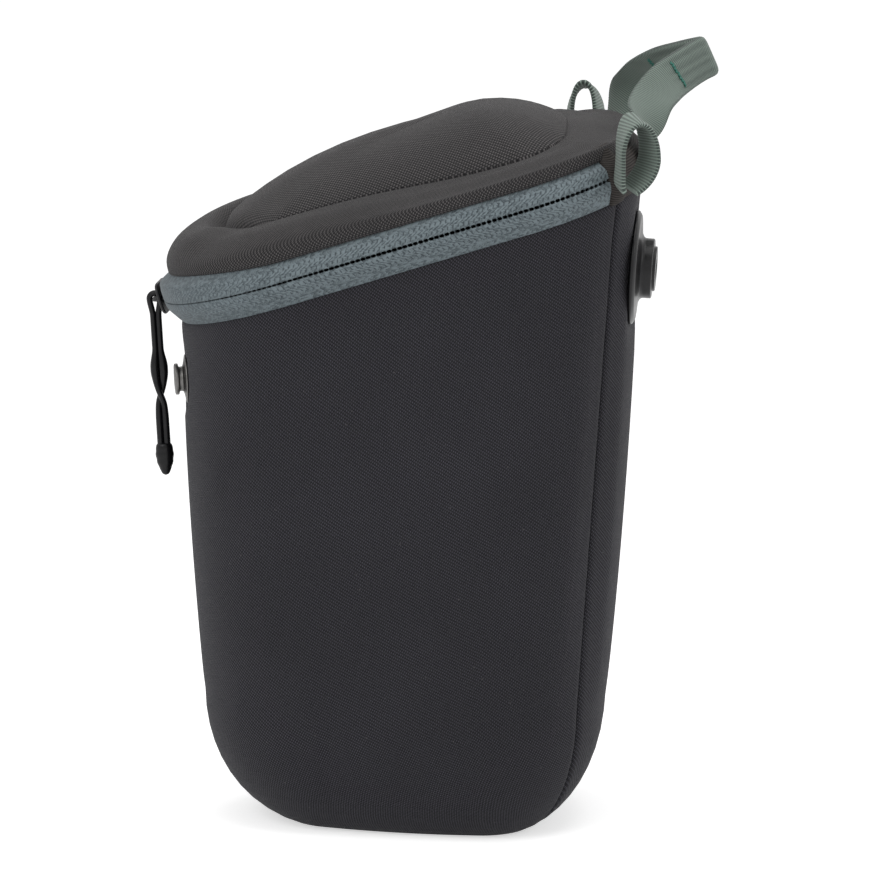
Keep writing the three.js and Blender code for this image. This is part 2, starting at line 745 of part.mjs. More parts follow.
function cordLoop() {
  const drops = steps(19, 1).map((f) => f * cordDrop);
  const up = drops.toReversed().map((drop) => strandPoint(1, drop));
  const over = steps(8).map((f) => new THREE.Vector3(0, cordRing * Math.cos(Math.PI * f), cordRing * Math.sin(Math.PI * f)));
  const down = drops.map((drop) => strandPoint(-1, drop));
  let gap = Infinity;
  for (const a of up) for (const b of down) gap = Math.min(gap, a.distanceTo(b) - 2 * cordRadius);
  console.log(`pull loop: least gap between its strands ${gap.toFixed(2)} mm`);
  return tube([...up, ...over, ...down], cordRadius, 6);
}

// A moulded grip: rounded sections that swell and taper down its length.
function pullGrip() {
  const top = -(cordDrop + clearance);
  const sections = steps(8).map((f) => {
    const width = gripWidth * (0.82 + 0.4 * Math.sin(Math.PI * Math.min(f * 1.15, 1)) - 0.34 * f * f) * 0.5;
    const depth = width * 0.78;
    return Array.from({ length: 12 }, (_, k) => {
      const turn = (2 * Math.PI * k) / 12;
      return new THREE.Vector3(depth * Math.cos(turn), width * Math.sin(turn), top - f * gripLength);
    });
  });
  return sweep(sections);
}

function buildSlider() {
  const carriage = new THREE.Group();
  carriage.applyMatrix4(rimFrame);
  slider.name = "slider_frame";
  slider.position.set(0, rim.frontRadius, 0);
  slider.rotation.z = rad(sliderParkDegrees);
  carriage.add(slider);
  model.add(carriage);
  const body = sliderBody().translate(0, -rim.frontRadius, 0);
  addPiece(slider, "slider_body", body, materials.metal);
  pull.name = "pull_frame";
  pull.position.set(0, -rim.frontRadius - barReach, 0);
  pull.rotation.x = rad(pullLeanDegrees) - Math.atan(Math.tan(rimSlope) * Math.cos(rad(sliderParkDegrees)));
  slider.add(pull);
  addPiece(pull, "pull_cord", cordLoop(), materials.rubber);
  addPiece(pull, "pull_grip", pullGrip(), materials.rubber);
}

// Webbing

// A flat strap through stations, each with a centre, a width direction, a width and a thickness.
function strap(stations) {
  const sections = stations.map(({ at, across, width, thickness }, i) => {
    const ahead = stations[Math.min(i + 1, stations.length - 1)].at;
    const along = ahead.clone().sub(stations[Math.max(i - 1, 0)].at).normalize();
    const side = across.clone().addScaledVector(along, -across.dot(along)).normalize();
    const face = along.clone().cross(side);
    const corner = (a, b) =>
      at.clone().addScaledVector(side, (a * width) / 2).addScaledVector(face, (b * thickness) / 2);
    return [corner(-1, -1), corner(1, -1), corner(1, 1), corner(-1, 1)];
  });
  return sweep(sections);
}

// A point on the back of the rim at an X, at a height above the rim plane.
function rimBack(x, n) {
  const onArc = Math.abs(x) < rim.backRadius * Math.sin(rim.backArc);
  const arcV = () => rim.backV + Math.sqrt(rim.backRadius ** 2 - x ** 2);
  const cornerV = () => rim.cornerV + Math.sqrt(rim.cornerRadius ** 2 - (Math.abs(x) - rim.cornerU) ** 2);
  return new THREE.Vector3(x, onArc ? arcV() : cornerV(), n).applyMatrix4(rimFrame);
}

// How far the back of the rim has turned from square to Y at an X.
function rimBackTurn(x) {
  const onArc = Math.abs(x) < rim.backRadius * Math.sin(rim.backArc);
  return onArc ? Math.asin(x / rim.backRadius) : Math.asin((x - rim.cornerU) / rim.cornerRadius);
}

const loopX = rimBackHalfWidth - loopInset;
const handleRootX = loopX - loopWidth / 2 - loopToHandle - handleWidth / 2;

// A loop of webbing on a back corner: an ellipse on end, its two ends sewn side by side.
function cornerLoop(side) {
  const yaw = rad(loopTurnDegrees);
  const across = new THREE.Vector3(Math.cos(yaw), side * Math.sin(yaw), 0);
  const behind = new THREE.Vector3(-side * Math.sin(yaw), Math.cos(yaw), 0);
  const innerX = loopX - loopWidth / 2;
  const frontY = rimBack(innerX, 0).y + clearance + (loopWidth / 2) * Math.sin(yaw);
  const bottomZ = rimBack(loopX, -tapeEdge).z + webbingLift;
  const middle = new THREE.Vector3(side * loopX, frontY, bottomZ + loopHeight / 2);
  middle.addScaledVector(behind, loopDepth / 2);
  const [a, b] = [(loopDepth - webbingThickness) / 2, (loopHeight - webbingThickness) / 2];
  const openHalf = Math.asin((webbingThickness / 2 + clearance) / a);
  const stations = steps(18).map((f) => {
    const turn = lerp(openHalf, 2 * Math.PI - openHalf, f);
    const at = middle.clone().addScaledVector(behind, a * Math.sin(turn));
    at.z -= b * Math.cos(turn);
    return { at, across, width: loopWidth, thickness: webbingThickness };
  });
  return strap(stations);
}

// The handle: a wide strap from each side of the back, folded narrow and double for the grip in the middle.
function carryHandle() {
  const rootY = rimBack(handleRootX, 0).y + clearance + webbingThickness / 2;
  const rootZ = rimBack(handleRootX, -tapeEdge).z + webbingLift;
  const point = (x, y, z) => new THREE.Vector3(handleRootX * x, rootY + handleReach * y, rootZ + handleRise * z);
  const leg = [point(1, 0, 0), point(1, 0, 0.12), point(0.88, 0.06, 0.3), point(0.64, 0.2, 0.47)];
  const grip = [point(0.42, 0.43, 0.66), point(0.26, 0.67, 0.82), point(0.11, 0.87, 0.94), point(0, 1, 1)];
  const half = [...leg, ...grip];
  const otherHalf = half.slice(0, -1).toReversed().map((p) => new THREE.Vector3(-p.x, p.y, p.z));
  const curve = new THREE.CatmullRomCurve3([...half, ...otherHalf]);
  const rootTurn = rimBackTurn(handleRootX);
  const legAcross = new THREE.Vector3(0, 0.98, -0.2);
  const gripAcross = new THREE.Vector3(0, 0.41, -0.91);
  const stations = steps(32).map((f) => {
    const along = 1 - Math.abs(2 * f - 1);
    const twist = smooth(0.08, 0.45, along);
    const fold = smooth(0.35, 0.85, along);
    const inward = f < 0.5 ? -1 : 1;
    const rootAcross = new THREE.Vector3(inward * Math.cos(rootTurn), Math.sin(rootTurn), 0);
    return {
      at: curve.getPointAt(f),
      across: rootAcross.lerp(legAcross, twist).lerp(gripAcross, fold),
      width: lerp(handleWidth, handleGripWidth, fold),
      thickness: lerp(webbingThickness, handleGripThickness, fold),
    };
  });
  return strap(stations);
}

function buildWebbing() {
  addPiece(model, "corner_loop_right", cornerLoop(1), materials.webbing);
  addPiece(model, "corner_loop_left", cornerLoop(-1), materials.webbing);
  addPiece(model, "carry_handle", carryHandle(), materials.webbing);
}

buildBucket();
buildStud();
buildButtons();
buildZip();
buildLid();
buildSlider();
buildWebbing();

export default model;
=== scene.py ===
# Looks of a padded camera insert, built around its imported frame.
# Metres. X runs across the bag, -Y is its front and +Z is up.
import json
import math

import bpy
import numpy as np
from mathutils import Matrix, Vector, noise


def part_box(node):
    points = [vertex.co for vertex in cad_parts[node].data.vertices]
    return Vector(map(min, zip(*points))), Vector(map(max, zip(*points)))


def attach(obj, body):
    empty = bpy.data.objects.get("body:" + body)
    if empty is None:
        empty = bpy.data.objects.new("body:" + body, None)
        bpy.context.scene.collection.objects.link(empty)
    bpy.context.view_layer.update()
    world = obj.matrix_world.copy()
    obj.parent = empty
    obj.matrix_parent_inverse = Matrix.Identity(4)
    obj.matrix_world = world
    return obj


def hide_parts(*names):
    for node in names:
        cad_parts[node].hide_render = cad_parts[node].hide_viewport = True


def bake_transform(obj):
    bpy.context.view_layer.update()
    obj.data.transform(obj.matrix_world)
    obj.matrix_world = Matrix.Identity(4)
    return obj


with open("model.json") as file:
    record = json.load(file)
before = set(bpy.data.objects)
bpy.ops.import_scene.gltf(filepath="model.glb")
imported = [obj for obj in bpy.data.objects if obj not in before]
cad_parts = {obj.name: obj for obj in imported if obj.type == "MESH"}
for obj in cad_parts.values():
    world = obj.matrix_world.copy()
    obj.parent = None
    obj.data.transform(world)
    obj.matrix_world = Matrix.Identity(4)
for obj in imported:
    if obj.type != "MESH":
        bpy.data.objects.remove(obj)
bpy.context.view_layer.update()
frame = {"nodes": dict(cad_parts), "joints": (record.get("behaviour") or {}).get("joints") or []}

bl_info = {
    "name": "Padded camera insert",
    "version": (1, 0, 0),
    "blender": (4, 5, 0),
    "location": "3D View > Sidebar > Insert",
    "description": "Cloth, padding, zip, webbing and fittings of a padded camera insert",
    "category": "Add Mesh",
}

MM = 0.001
JOINTS = {joint["name"]: joint for joint in frame["joints"]}

# The rim plane: its normal is the axis that the slider runs about, above the middle of the front arc
RIM_UP = np.array(JOINTS["slider_run"]["axis"])
RIM_ALONG = np.array([0, RIM_UP[2], -RIM_UP[1]])
RIM_MIDDLE = np.array(JOINTS["slider_run"]["pos_m"])

# Outlines of the rim and the foot, with the sizes that the solids have
BACK_ARC = math.radians(14)
SEAM = math.radians(44)
RIM_FRONT_RADIUS = 46 * MM
RIM_BACK_HALF = 63 * MM
RIM_CORNER = 34 * MM
RIM_LENGTH = 154.6 * MM
FOOT_FRONT_Y = -63.3 * MM
FOOT_HEIGHT = 40 * MM
FOOT_FRONT_RADIUS = 40 * MM
FOOT_BACK_HALF = 54 * MM
FOOT_CORNER = 34 * MM
FOOT_LENGTH = 125.3 * MM
FOOT_DRAW_IN = 14 * MM
FOOT_END_DRAW_IN = 16 * MM
WALL_RUN = 120 * MM

# Layers
CLEARANCE = 0.3 * MM
FABRIC = 1.2 * MM
PAD_DEPTH = 8 * MM
LINING_DEPTH = 9.1 * MM
LINING_FABRIC = 0.8 * MM
GRID_STEP = 2.6 * MM
BASE_STEP = 3 * MM
BASE_GAP = 0.2 * MM
BASE_REACH = np.array([1, 0.995, 0.985, 0.97, 0.94, 0.88, 0.75, 0.55, 0.3, 0.04])
LINING_STEP = 3.5 * MM
LINING_FLOOR_REACH = (0.8, 0.55, 0.3, 0.05)
UNDER_SEAM_DEPTH = 1.1 * MM
UNDER_SEAM_ROLL = 2.2 * MM
BACK_SWELL = 1.3

# The push of the walls' padding, and how closely the cloth lies round a fastener
PAD_PRESSURE = 4
PAD_GIVE = 1.6 * MM
SETTLE_FRAMES = 20
SETTLE_STEPS = 20
PRESS_GAP = 0.1 * MM
PRESS_DEPTH = 4 * MM
PRESS_SPREAD = 1.5

# Zip band
TAPE_WIDTH = 7.4 * MM
TAPE_THICKNESS = 0.9 * MM
TAPE_DRAW_IN = 3.5 * MM
SLIT_HALF = 0.55 * MM
TAPE_EDGE = SLIT_HALF + TAPE_WIDTH
FABRIC_EDGE = TAPE_EDGE + CLEARANCE
LID_EDGE_INSET = 1.4 * MM
COIL_DEPTH = 1.6 * MM
COIL_WIDTH = 3.2 * MM
COIL_WIRE = 0.32 * MM
TAPE_TUCK = 0.35 * MM
CHAIN_RISE = 0.25 * MM
STITCH_RISE = 0.06 * MM
STITCH_ROWS = ((1.2 * MM, 0.16), (2.3 * MM, 0.66), (3.35 * MM, 0.16))
STITCH_WIDTH = 0.55 * MM
UPPER_TAPE_SIDE = LID_EDGE_INSET + 1.3 * MM
UPPER_TAPE_FRONT = 4.3 * MM

# Lid
LID_TOP = 20 * MM
LID_WALL_TOP = 10.5 * MM
LID_LEAN = 4.6 * MM
SHOULDER = 9 * MM
GROOVE_INSET = 19 * MM
GROOVE_DEPTH = 2.5 * MM
PANEL_DOME = 11 * MM
BACK_DROP = 7 * MM
FRONT_DROP = 2.4 * MM
SLUMP = 2.6 * MM
TAIL_DROP = 8 * MM
LID_PAD = 6.5 * MM
LID_SIDE_EDGE = LID_EDGE_INSET - 0.5 * MM
LID_FRONT_EDGE = 3.8 * MM
SIDE_CREST = LID_LEAN + 4.8 * MM
END_CREST = LID_LEAN + SHOULDER
SIDE_OVERLAP = 2.3 * MM
FRONT_OVERLAP = 0.95 * MM
SIDE_GROOVE = 0.35 * GROOVE_DEPTH
FRONT_GROOVE = 2.9 * GROOVE_DEPTH
FRONT_GROOVE_SHIFT = 5 * MM
PANEL_FRONT_RISE = 5.5 * MM
PANEL_CENTRE = (0, 0.65 * RIM_LENGTH)
PANEL_REACH = (1, 0.99, 0.975, 0.95, 0.92, 0.87, 0.8, 0.7, 0.58, 0.45, 0.32, 0.18, 0.05)
LID_LINING_REACH = (0.9, 0.75, 0.55, 0.3, 0.05)
LID_RIPPLE_LENGTH = 26 * MM

# Hinge cloth
HINGE_OVERLAP = 0.12
RIDGE_WIDTH = 7.5 * MM
RIDGE_HEIGHT = 2.3 * MM
RIDGE_REACH = 0.2
HINGE_SWELL = 0.5 * MM
HINGE_FABRIC = 0.6 * MM
HINGE_ROLL = 2.4 * MM
GATHER = 0.06 * MM

# Webbing
WEBBING_THICKNESS = 1.8 * MM
WEBBING_LIFT = 4.5 * MM
LOOP_WIDTH = 12 * MM
LOOP_HEIGHT = 22.6 * MM
LOOP_DEPTH = 11 * MM
LOOP_X = RIM_BACK_HALF - 1.2 * MM
LOOP_TURN = math.radians(12)
LOOP_FLARE = math.radians(11)
LOOP_DIP = math.radians(14)
LOOP_DROOP = 3.2 * MM
HANDLE_WIDTH = 13.5 * MM
GRIP_WIDTH = 13 * MM
GRIP_THICKNESS = 3.8 * MM
HANDLE_REACH = 24.7 * MM
HANDLE_RISE = 31.6 * MM
TACK_PLACE = 0.52
HANDLE_ROOT_X = LOOP_X - LOOP_WIDTH / 2 - 12 * MM - HANDLE_WIDTH / 2
HANDLE_RIDGE = 0.42 * MM
HANDLE_TWIST = np.array([0, 0.98, -0.2])
GRIP_TWIST = np.array([0, 0.41, -0.91])
HANDLE_ROWS = 760
LOOP_ROWS = 260
LOOP_LIFT = 3.4 * MM
RIB_RISE = 0.07 * MM
RIB_SWELL = 0.012
# Groove depth that paints full shade into the grip's colour
GROOVE_PAINTED_SHADE_DEPTH = 0.9 * MM

# The handle's middle line, near leg to far leg, as shares of its root's X, its reach and its rise
HANDLE_LINE = (
    (1, 0, 0), (1, 0, 0.2), (0.92, 0.03, 0.42), (0.72, 0.14, 0.62),
    (0.47, 0.38, 0.78), (0.28, 0.64, 0.89), (0.12, 0.86, 0.965), (0, 1, 1),
    (-0.12, 0.88, 0.97), (-0.28, 0.72, 0.92), (-0.52, 0.54, 0.86), (-0.76, 0.38, 0.78),
    (-0.9, 0.25, 0.62), (-0.97, 0.12, 0.42), (-1, 0.03, 0.2), (-1, 0, 0),
)

# Bar tacks
TACK_TURNS = 9
TACK_POINTS = 57
TACK_MARGIN = 4.6
TACK_SWING = 0.42 * MM
TACK_LIFT = 0.12 * MM
TACK_THREAD = 0.34 * MM

# Fasteners, as radii and heights of turned profiles
STUD_PROFILE = np.array([
    [0, 0.05], [7.5, 0.05], [7.5, 0.6], [4.9, 1.1], [3.9, 1.4], [3.8, 2.5],
    [4.9, 2.8], [4.9, 3.7], [4.3, 4.0], [2.4, 4.0], [2.2, 3.5], [0, 3.5],
]) * MM
BUTTON_PROFILE = np.array([
    [0, 0.05], [17.5, 0.05], [17.5, 0.9], [16.2, 1.8], [13.2, 1.9], [10.6, 2.35], [9.5, 2.9], [9.2, 3.6],
    [9.2, 6.1], [8.7, 6.3], [6.9, 6.3], [6.9, 7.1], [6.5, 7.2], [3.4, 7.2], [3.0, 6.8], [0, 6.8],
]) * MM
STUD_RADIUS = STUD_PROFILE[:, 0].max()
BUTTON_RADIUS = BUTTON_PROFILE[:, 0].max()
STUD_ROUNDING = 0.22 * MM
BUTTON_ROUNDING = 0.5 * MM
CREASE = 40

# Plates of the slider: length, width, corner, and both faces' heights over the zip line
SLIDER_PLATES = np.array([[15, 10, 3.4, 0.7, 1.7], [9, 5.4, 2, 1.6, 2.5], [13, 7, 2.4, -5.47, -4.67]]) * MM
SLIDER_POST = np.array([2.4, 0.5, 0.2, -4.7, 0.6]) * MM
POST_PLACE = 5.1 * MM
POST_EDGE = 0.05 * MM
PLATE_FACE = 1.5 * MM
BAIL_HALF = 4.6 * MM
BAIL_FOOT = 0.9 * MM
BAIL_RADIUS = 0.6 * MM
BAIL_FLARE = 0.25 * MM

# Pull
CORD_RADIUS = 0.95 * MM
CORD_DROP = 46 * MM
CORD_RING = 1.65 * MM
KNOT_SWELL = 0.5 * MM
TAIL_SWELL = 0.15 * MM
PULL_LEAN = math.radians(2.5)
GRIP_DROP = 10.6 * MM
TIP_WIDTH = 5 * MM
TIP_FLATNESS = 0.78
TIP_RIBS = 4
TIP_RIB_SHARE = 0.025

# Stage
WHITE = (1, 1, 1, 1)
FLOOR_HALF = 6
FLOOR_DROP = 0.2 * MM
FLOOR_GLOW = 0.58
SENSOR_WIDTH = 36
VIEW_END = 50
LAMP_AIM = (0, 0, 0.12)

# Lamps: name, place, size and power
LAMPS = (
    ("key", (0.75, -0.75, 0.95), 0.7, 3.4),
    ("top", (0.05, 0.1, 1.15), 0.8, 3.6),
    ("back", (0.55, 0.95, 0.7), 0.6, 1.4),
)


def colour_property(name, description, default):
    return bpy.props.FloatVectorProperty(
        name=name, description=description, subtype="COLOR", size=3, min=0, max=1, default=default
    )


def length_property(name, description, default):
    return bpy.props.FloatProperty(name=name, description=description, unit="LENGTH", default=default)


def angle_property(name, description, degrees):
    return bpy.props.FloatProperty(
        name=name, description=description, subtype="ANGLE", default=math.radians(degrees)
    )


class InsertSizes(bpy.types.PropertyGroup):
    """Sizes of the soft forms and of the fine textures."""

    wall_swell: length_property("Wall swell", "How far the padded walls bow out", 1.6 * MM)
    seam_roll: length_property("Seam roll", "Width over which cloth rolls into a seam", 2.4 * MM)
    seam_depth: length_property("Seam depth", "How deep the seams lie", 1.5 * MM)
    edge_lift: length_property("Edge lift", "How far folded cloth stands over the zip tape", 0.6 * MM)
    ripple: length_property("Ripple", "Height of the slow waves in the cloth", 0.35 * MM)
    weave_pitch: length_property("Weave pitch", "Distance between threads of the body cloth", 0.56 * MM)
    zip_pitch: length_property("Zip pitch", "Distance between the turns of the zip coil", 1.67 * MM)
    rib_pitch: length_property("Rib pitch", "Distance between the ribs of the webbing", 0.9 * MM)


class InsertColours(bpy.types.PropertyGroup):
    """Colours of the cloths, threads and fittings."""

    shell_dark: colour_property("Body cloth, low", "Body cloth between its threads", (0.005, 0.005, 0.006))
    shell_light: colour_property("Body cloth, high", "Tops of its threads", (0.074, 0.071, 0.088))
    # Painted light: the lid's cloth is the body's cloth with about twice as light a high colour, painted
    # light from above on the lid's top
    lid_high_with_painted_top_light: colour_property("Lid, high, with painted top light", "Tops of the lid cloth's threads", (0.150, 0.140, 0.140))
    binding_dark: colour_property("Binding, low", "Binding between its ribs", (0.006, 0.005, 0.005))
    binding_light: colour_property("Binding, high", "Ribs of the binding", (0.075, 0.066, 0.060))
    lint: colour_property("Lint", "Specks on the cloth", (0.16, 0.15, 0.15))
    lining_dark: colour_property("Lining, low", "Lining between its fibres", (0.10, 0.11, 0.12))
    lining_light: colour_property("Lining, high", "Nap of the lining", (0.22, 0.23, 0.24))
    tape_dark: colour_property("Zip tape, low", "Holes between the zip's stitches", (0.030, 0.042, 0.050))
    tape_light: colour_property("Zip tape, high", "Threads of the zip tape", (0.19, 0.235, 0.255))
    coil: colour_property("Zip coil", "Moulded coil", (0.022, 0.026, 0.030))
    webbing_dark: colour_property("Webbing, low", "Webbing between its ribs", (0.030, 0.043, 0.037))
    webbing_light: colour_property("Webbing, high", "Ribs of the webbing", (0.29, 0.365, 0.315))
    tack: colour_property("Bar tack", "Thread of the bar tacks", (0.030, 0.165, 0.125))
    metal: colour_property("Metal", "Gunmetal fittings", (0.16, 0.155, 0.15))
    plastic: colour_property("Plastic", "Moulded buttons", (0.006, 0.006, 0.007))
    rubber: colour_property("Rubber", "Coated pull", (0.004, 0.004, 0.005))


class StageSettings(bpy.types.PropertyGroup):
    """Camera, lamps and floor."""

    distance: length_property("Distance", "Camera to the middle of the view", 1.6)
    span: length_property("Span", "Width of the view at that distance", 870 / 3.2 * MM)
    azimuth: angle_property("Azimuth", "Camera's turn round the bag", 84.5)
    elevation: angle_property("Elevation", "Camera above the horizon", 9)
    aim: bpy.props.FloatVectorProperty(
        name="Aim",
        description="Middle of the view",
        subtype="XYZ",
        unit="LENGTH",
        default=(0, 0.009, 0.1194),
    )
    sky: bpy.props.FloatProperty(name="Sky", description="Strength of the even light", default=0.55)
    floor: colour_property("Floor", "Pale floor", (0.86, 0.86, 0.86))


def sizes():
    return bpy.context.scene.insert_sizes


def colours():
    return bpy.context.scene.insert_colours


# Outlines


def lerp(a, b, f):
    return a + (b - a) * f


def smooth(low, high, x):
    t = np.clip((np.asarray(x, float) - low) / (high - low), 0, 1)
    return t * t * (3 - 2 * t)


def roll(distance, width):
    """0 away from an edge and 1 on it, along a quarter circle."""
    t = np.clip(1 - np.asarray(distance, float) / width, 0, 1)
    return 1 - np.sqrt(1 - t * t)


def arc(u, v, radius, angles, side):
    normals = np.stack([side * np.cos(angles), np.sin(angles)], 1)
    return np.array([side * u, v]) + radius * normals, normals


class Outline:
    """A front arc, two side lines, two back corners and a shallow back arc, all tangent."""

    def __init__(self, front_radius, back_half, corner, length):
        self.front_radius = front_radius
        self.corner = corner
        self.corner_u = back_half - corner
        self.back_radius = corner + self.corner_u / math.sin(BACK_ARC)
        self.back_v = length - self.back_radius
        self.corner_v = self.back_v + (self.back_radius - corner) * math.cos(BACK_ARC)
        away = math.hypot(self.corner_u, self.corner_v - front_radius)
        bearing = math.atan2(self.corner_v - front_radius, self.corner_u)
        self.side_normal = bearing - math.acos((front_radius - corner) / away)

    def run(self, kind, side, shares):
        """Points and outward normals at shares of one run.

        A corner is 0 at its seam, 1 at the side and -1 at the back.
        """
        f = np.asarray(shares, float)
        if kind == "front":
            angles = lerp(self.side_normal, -math.pi - self.side_normal, f)
            return arc(0, self.front_radius, self.front_radius, angles, 1)
        if kind == "back":
            return arc(0, self.back_v, self.back_radius, math.pi / 2 + lerp(BACK_ARC, -BACK_ARC, f), 1)
        if kind == "corner":
            to_side = self.side_normal - SEAM
            to_back = math.pi / 2 - BACK_ARC - SEAM
            angles = SEAM + np.where(f > 0, f * to_side, -f * to_back)
            return arc(self.corner_u, self.corner_v, self.corner, angles, side)
        angle = np.full(len(f), self.side_normal)
        start, normals = arc(self.corner_u, self.corner_v, self.corner, angle, side)
        end, _ = arc(0, self.front_radius, self.front_radius, angle, side)
        return lerp(start, end, f[:, None]), normals

    def track(self, runs):
        parts = [self.run(*one) for one in runs]
        return np.concatenate([p for p, _ in parts]), np.concatenate([n for _, n in parts])


RIM = Outline(RIM_FRONT_RADIUS, RIM_BACK_HALF, RIM_CORNER, RIM_LENGTH)
FOOT = Outline(FOOT_FRONT_RADIUS, FOOT_BACK_HALF, FOOT_CORNER, FOOT_LENGTH)
RIM_ORIGIN = RIM_MIDDLE - RIM_ALONG * RIM_FRONT_RADIUS
CORNER_RUN = RIM_CORNER * (SEAM - RIM.side_normal)
BACK_CORNER_RUN = RIM_CORNER * (math.pi / 2 - BACK_ARC - SEAM)
SIDE_RUN = float(np.linalg.norm(np.subtract(*RIM.run("side", 1, [0, 1])[0])))
FRONT_RUN = RIM_FRONT_RADIUS * (math.pi + 2 * RIM.side_normal)
BACK_RUN = RIM.back_radius * 2 * BACK_ARC
EDGE_STEPS = np.array([0, 0.2, 0.5, 0.9, 1.4, 2.1, 3.0]) * MM


def shares(length, step):
    return np.linspace(0, 1, max(2, math.ceil(length / step)) + 1)


def edged_shares(length, step):
    """Shares that start close together, for an edge that rolls into a seam."""
    near = EDGE_STEPS / length
    rest = lerp(near[-1], 1, shares(length - EDGE_STEPS[-1], step))
    return np.concatenate([near, rest[1:]])


def wrap_runs(step, corner):
    """From the +X seam round the front to the -X seam."""
    side = shares(SIDE_RUN, step)[1:-1]
    return [
        ("corner", 1, corner),
        ("side", 1, side),
        ("front", 1, shares(FRONT_RUN, step)),
        ("side", -1, 1 - side),
        ("corner", -1, corner[::-1]),
    ]


def back_runs(step, corner):
    """From the -X seam across the back to the +X seam."""
    return [
        ("corner", -1, -corner),
        ("back", 1, shares(BACK_RUN, step)[1:-1]),
        ("corner", 1, -corner[::-1]),
    ]


def ring_runs(step):
    back = back_runs(step, shares(BACK_CORNER_RUN, step)[1:])
    return wrap_runs(step, shares(CORNER_RUN, step)) + back


def lengths(points):
    """Distance along points from the first one."""
    gaps = np.linalg.norm(np.diff(points, axis=0), axis=1)
    return np.concatenate([[0], np.cumsum(gaps)])


def on_rim(points, height):
    """Points of the rim plane, raised square to it."""
    height = np.broadcast_to(height, len(points))[:, None]
    along = points[:, 1:] * RIM_ALONG
    return RIM_ORIGIN + points[:, :1] * np.array([1, 0, 0]) + along + height * RIM_UP


def inset_rim(points, normals, inset, height):
    """A row inside the rim outline, raised square to its plane."""
    return on_rim(points - inset[:, None] * normals, height)


def at_foot(points, z):
    z = np.broadcast_to(z, len(points))
    return np.stack([points[:, 0], FOOT_FRONT_Y + points[:, 1], z], 1)


# Meshes


def new_piece(name, points, faces, corner_cloth, material, relief=None, crease=60):
    """A mesh object with smooth faces. corner_cloth holds the cloth's coordinates at face corners."""
    mesh = bpy.data.meshes.new(name)
    mesh.from_pydata(np.asarray(points).tolist(), [], faces)
    cloth = mesh.attributes.new("cloth", "FLOAT_VECTOR", "CORNER")
    cloth.data.foreach_set("vector", np.asarray(corner_cloth, np.float32).ravel())
    if relief is not None:
        height = mesh.attributes.new("relief", "FLOAT", "POINT")
        height.data.foreach_set("value", np.asarray(relief, np.float32).ravel())
    mesh.shade_smooth()
    mesh.set_sharp_from_angle(angle=math.radians(crease))
    mesh.materials.append(material)
    piece = bpy.data.objects.new(name, mesh)
    bpy.context.scene.collection.objects.link(piece)
    return piece


def volume(points, faces):
    total = 0.0
    for face in faces:
        a = points[face[0]]
        for i in range(1, len(face) - 1):
            total += float(np.dot(a, np.cross(points[face[i]], points[face[i + 1]])))
    return total


def read_points(piece):
    points = np.empty(len(piece.data.vertices) * 3)
    piece.data.vertices.foreach_get("co", points)
    return points.reshape(-1, 3)


def write_points(piece, points):
    piece.data.vertices.foreach_set("co", points.ravel())
    piece.data.update()


def settle(piece, free):
    """Padding pushes a piece's outer cloth out by simulation.

    free holds 0 where the cloth is sewn down and 1 where it is slack.
    """
    start = read_points(piece)
    free = np.concatenate([free.ravel(), np.zeros(len(start) - free.size)])
    held = piece.vertex_groups.new(name="held")
    for step in range(SETTLE_STEPS + 1):
        chosen = np.flatnonzero(np.rint(free * SETTLE_STEPS) == step)
        held.add(chosen.tolist(), 1 - step / SETTLE_STEPS, "REPLACE")
    cloth = piece.modifiers.new("padding", "CLOTH")
    cloth.settings.quality = 4
    cloth.settings.mass = 0.15
    cloth.settings.use_pressure = True
    cloth.settings.uniform_pressure_force = PAD_PRESSURE
    cloth.settings.vertex_group_mass = held.name
    cloth.settings.effector_weights.gravity = 0
    cloth.collision_settings.use_collision = False
    scene = bpy.context.scene
    for number in range(1, SETTLE_FRAMES + 1):
        scene.frame_set(number)
    swollen = piece.evaluated_get(bpy.context.evaluated_depsgraph_get())
    moved = np.empty(start.size)
    swollen.data.vertices.foreach_get("co", moved)
    piece.modifiers.remove(cloth)
    piece.vertex_groups.remove(held)
    scene.frame_set(1)
    shift = moved.reshape(-1, 3) - start
    size = np.linalg.norm(shift, axis=1, keepdims=True)
    shift = shift * np.minimum(1, PAD_GIVE / np.maximum(size, 1e-9)) * free[:, None]
    write_points(piece, start + shift)


def closed(grid):
    """A grid that goes round, with its first column again at its end."""
    return np.concatenate([grid, grid[:, :1]], 1)


def numbered(shape):
    """A grid of running numbers."""
    return np.arange(math.prod(shape)).reshape(shape)


def turned_out(points, faces, spots, cloth):
    """Faces that look out of a body, and the cloth's coordinates at their corners."""
    if volume(points, faces) < 0:
        faces = [face[::-1] for face in faces]
        spots = [spot[::-1] for spot in spots]
    return faces, cloth.reshape(-1, 3)[np.concatenate([np.array(spot) for spot in spots])]


def grid_quads(index):
    return np.stack([index[:-1, :-1], index[:-1, 1:], index[1:, 1:], index[1:, :-1]], -1).reshape(-1, 4)


def grid_cloth(rows, ring):
    """Distances along and down a grid of points, centred on its middle column."""
    wide = closed(rows) if ring else rows
    across = np.stack([lengths(row) for row in wide])
    across -= across[:, [wide.shape[1] // 2]]
    down = np.stack([lengths(wide[:, c]) for c in range(wide.shape[1])], 1)
    return np.stack([across, down, np.zeros_like(down)], -1)


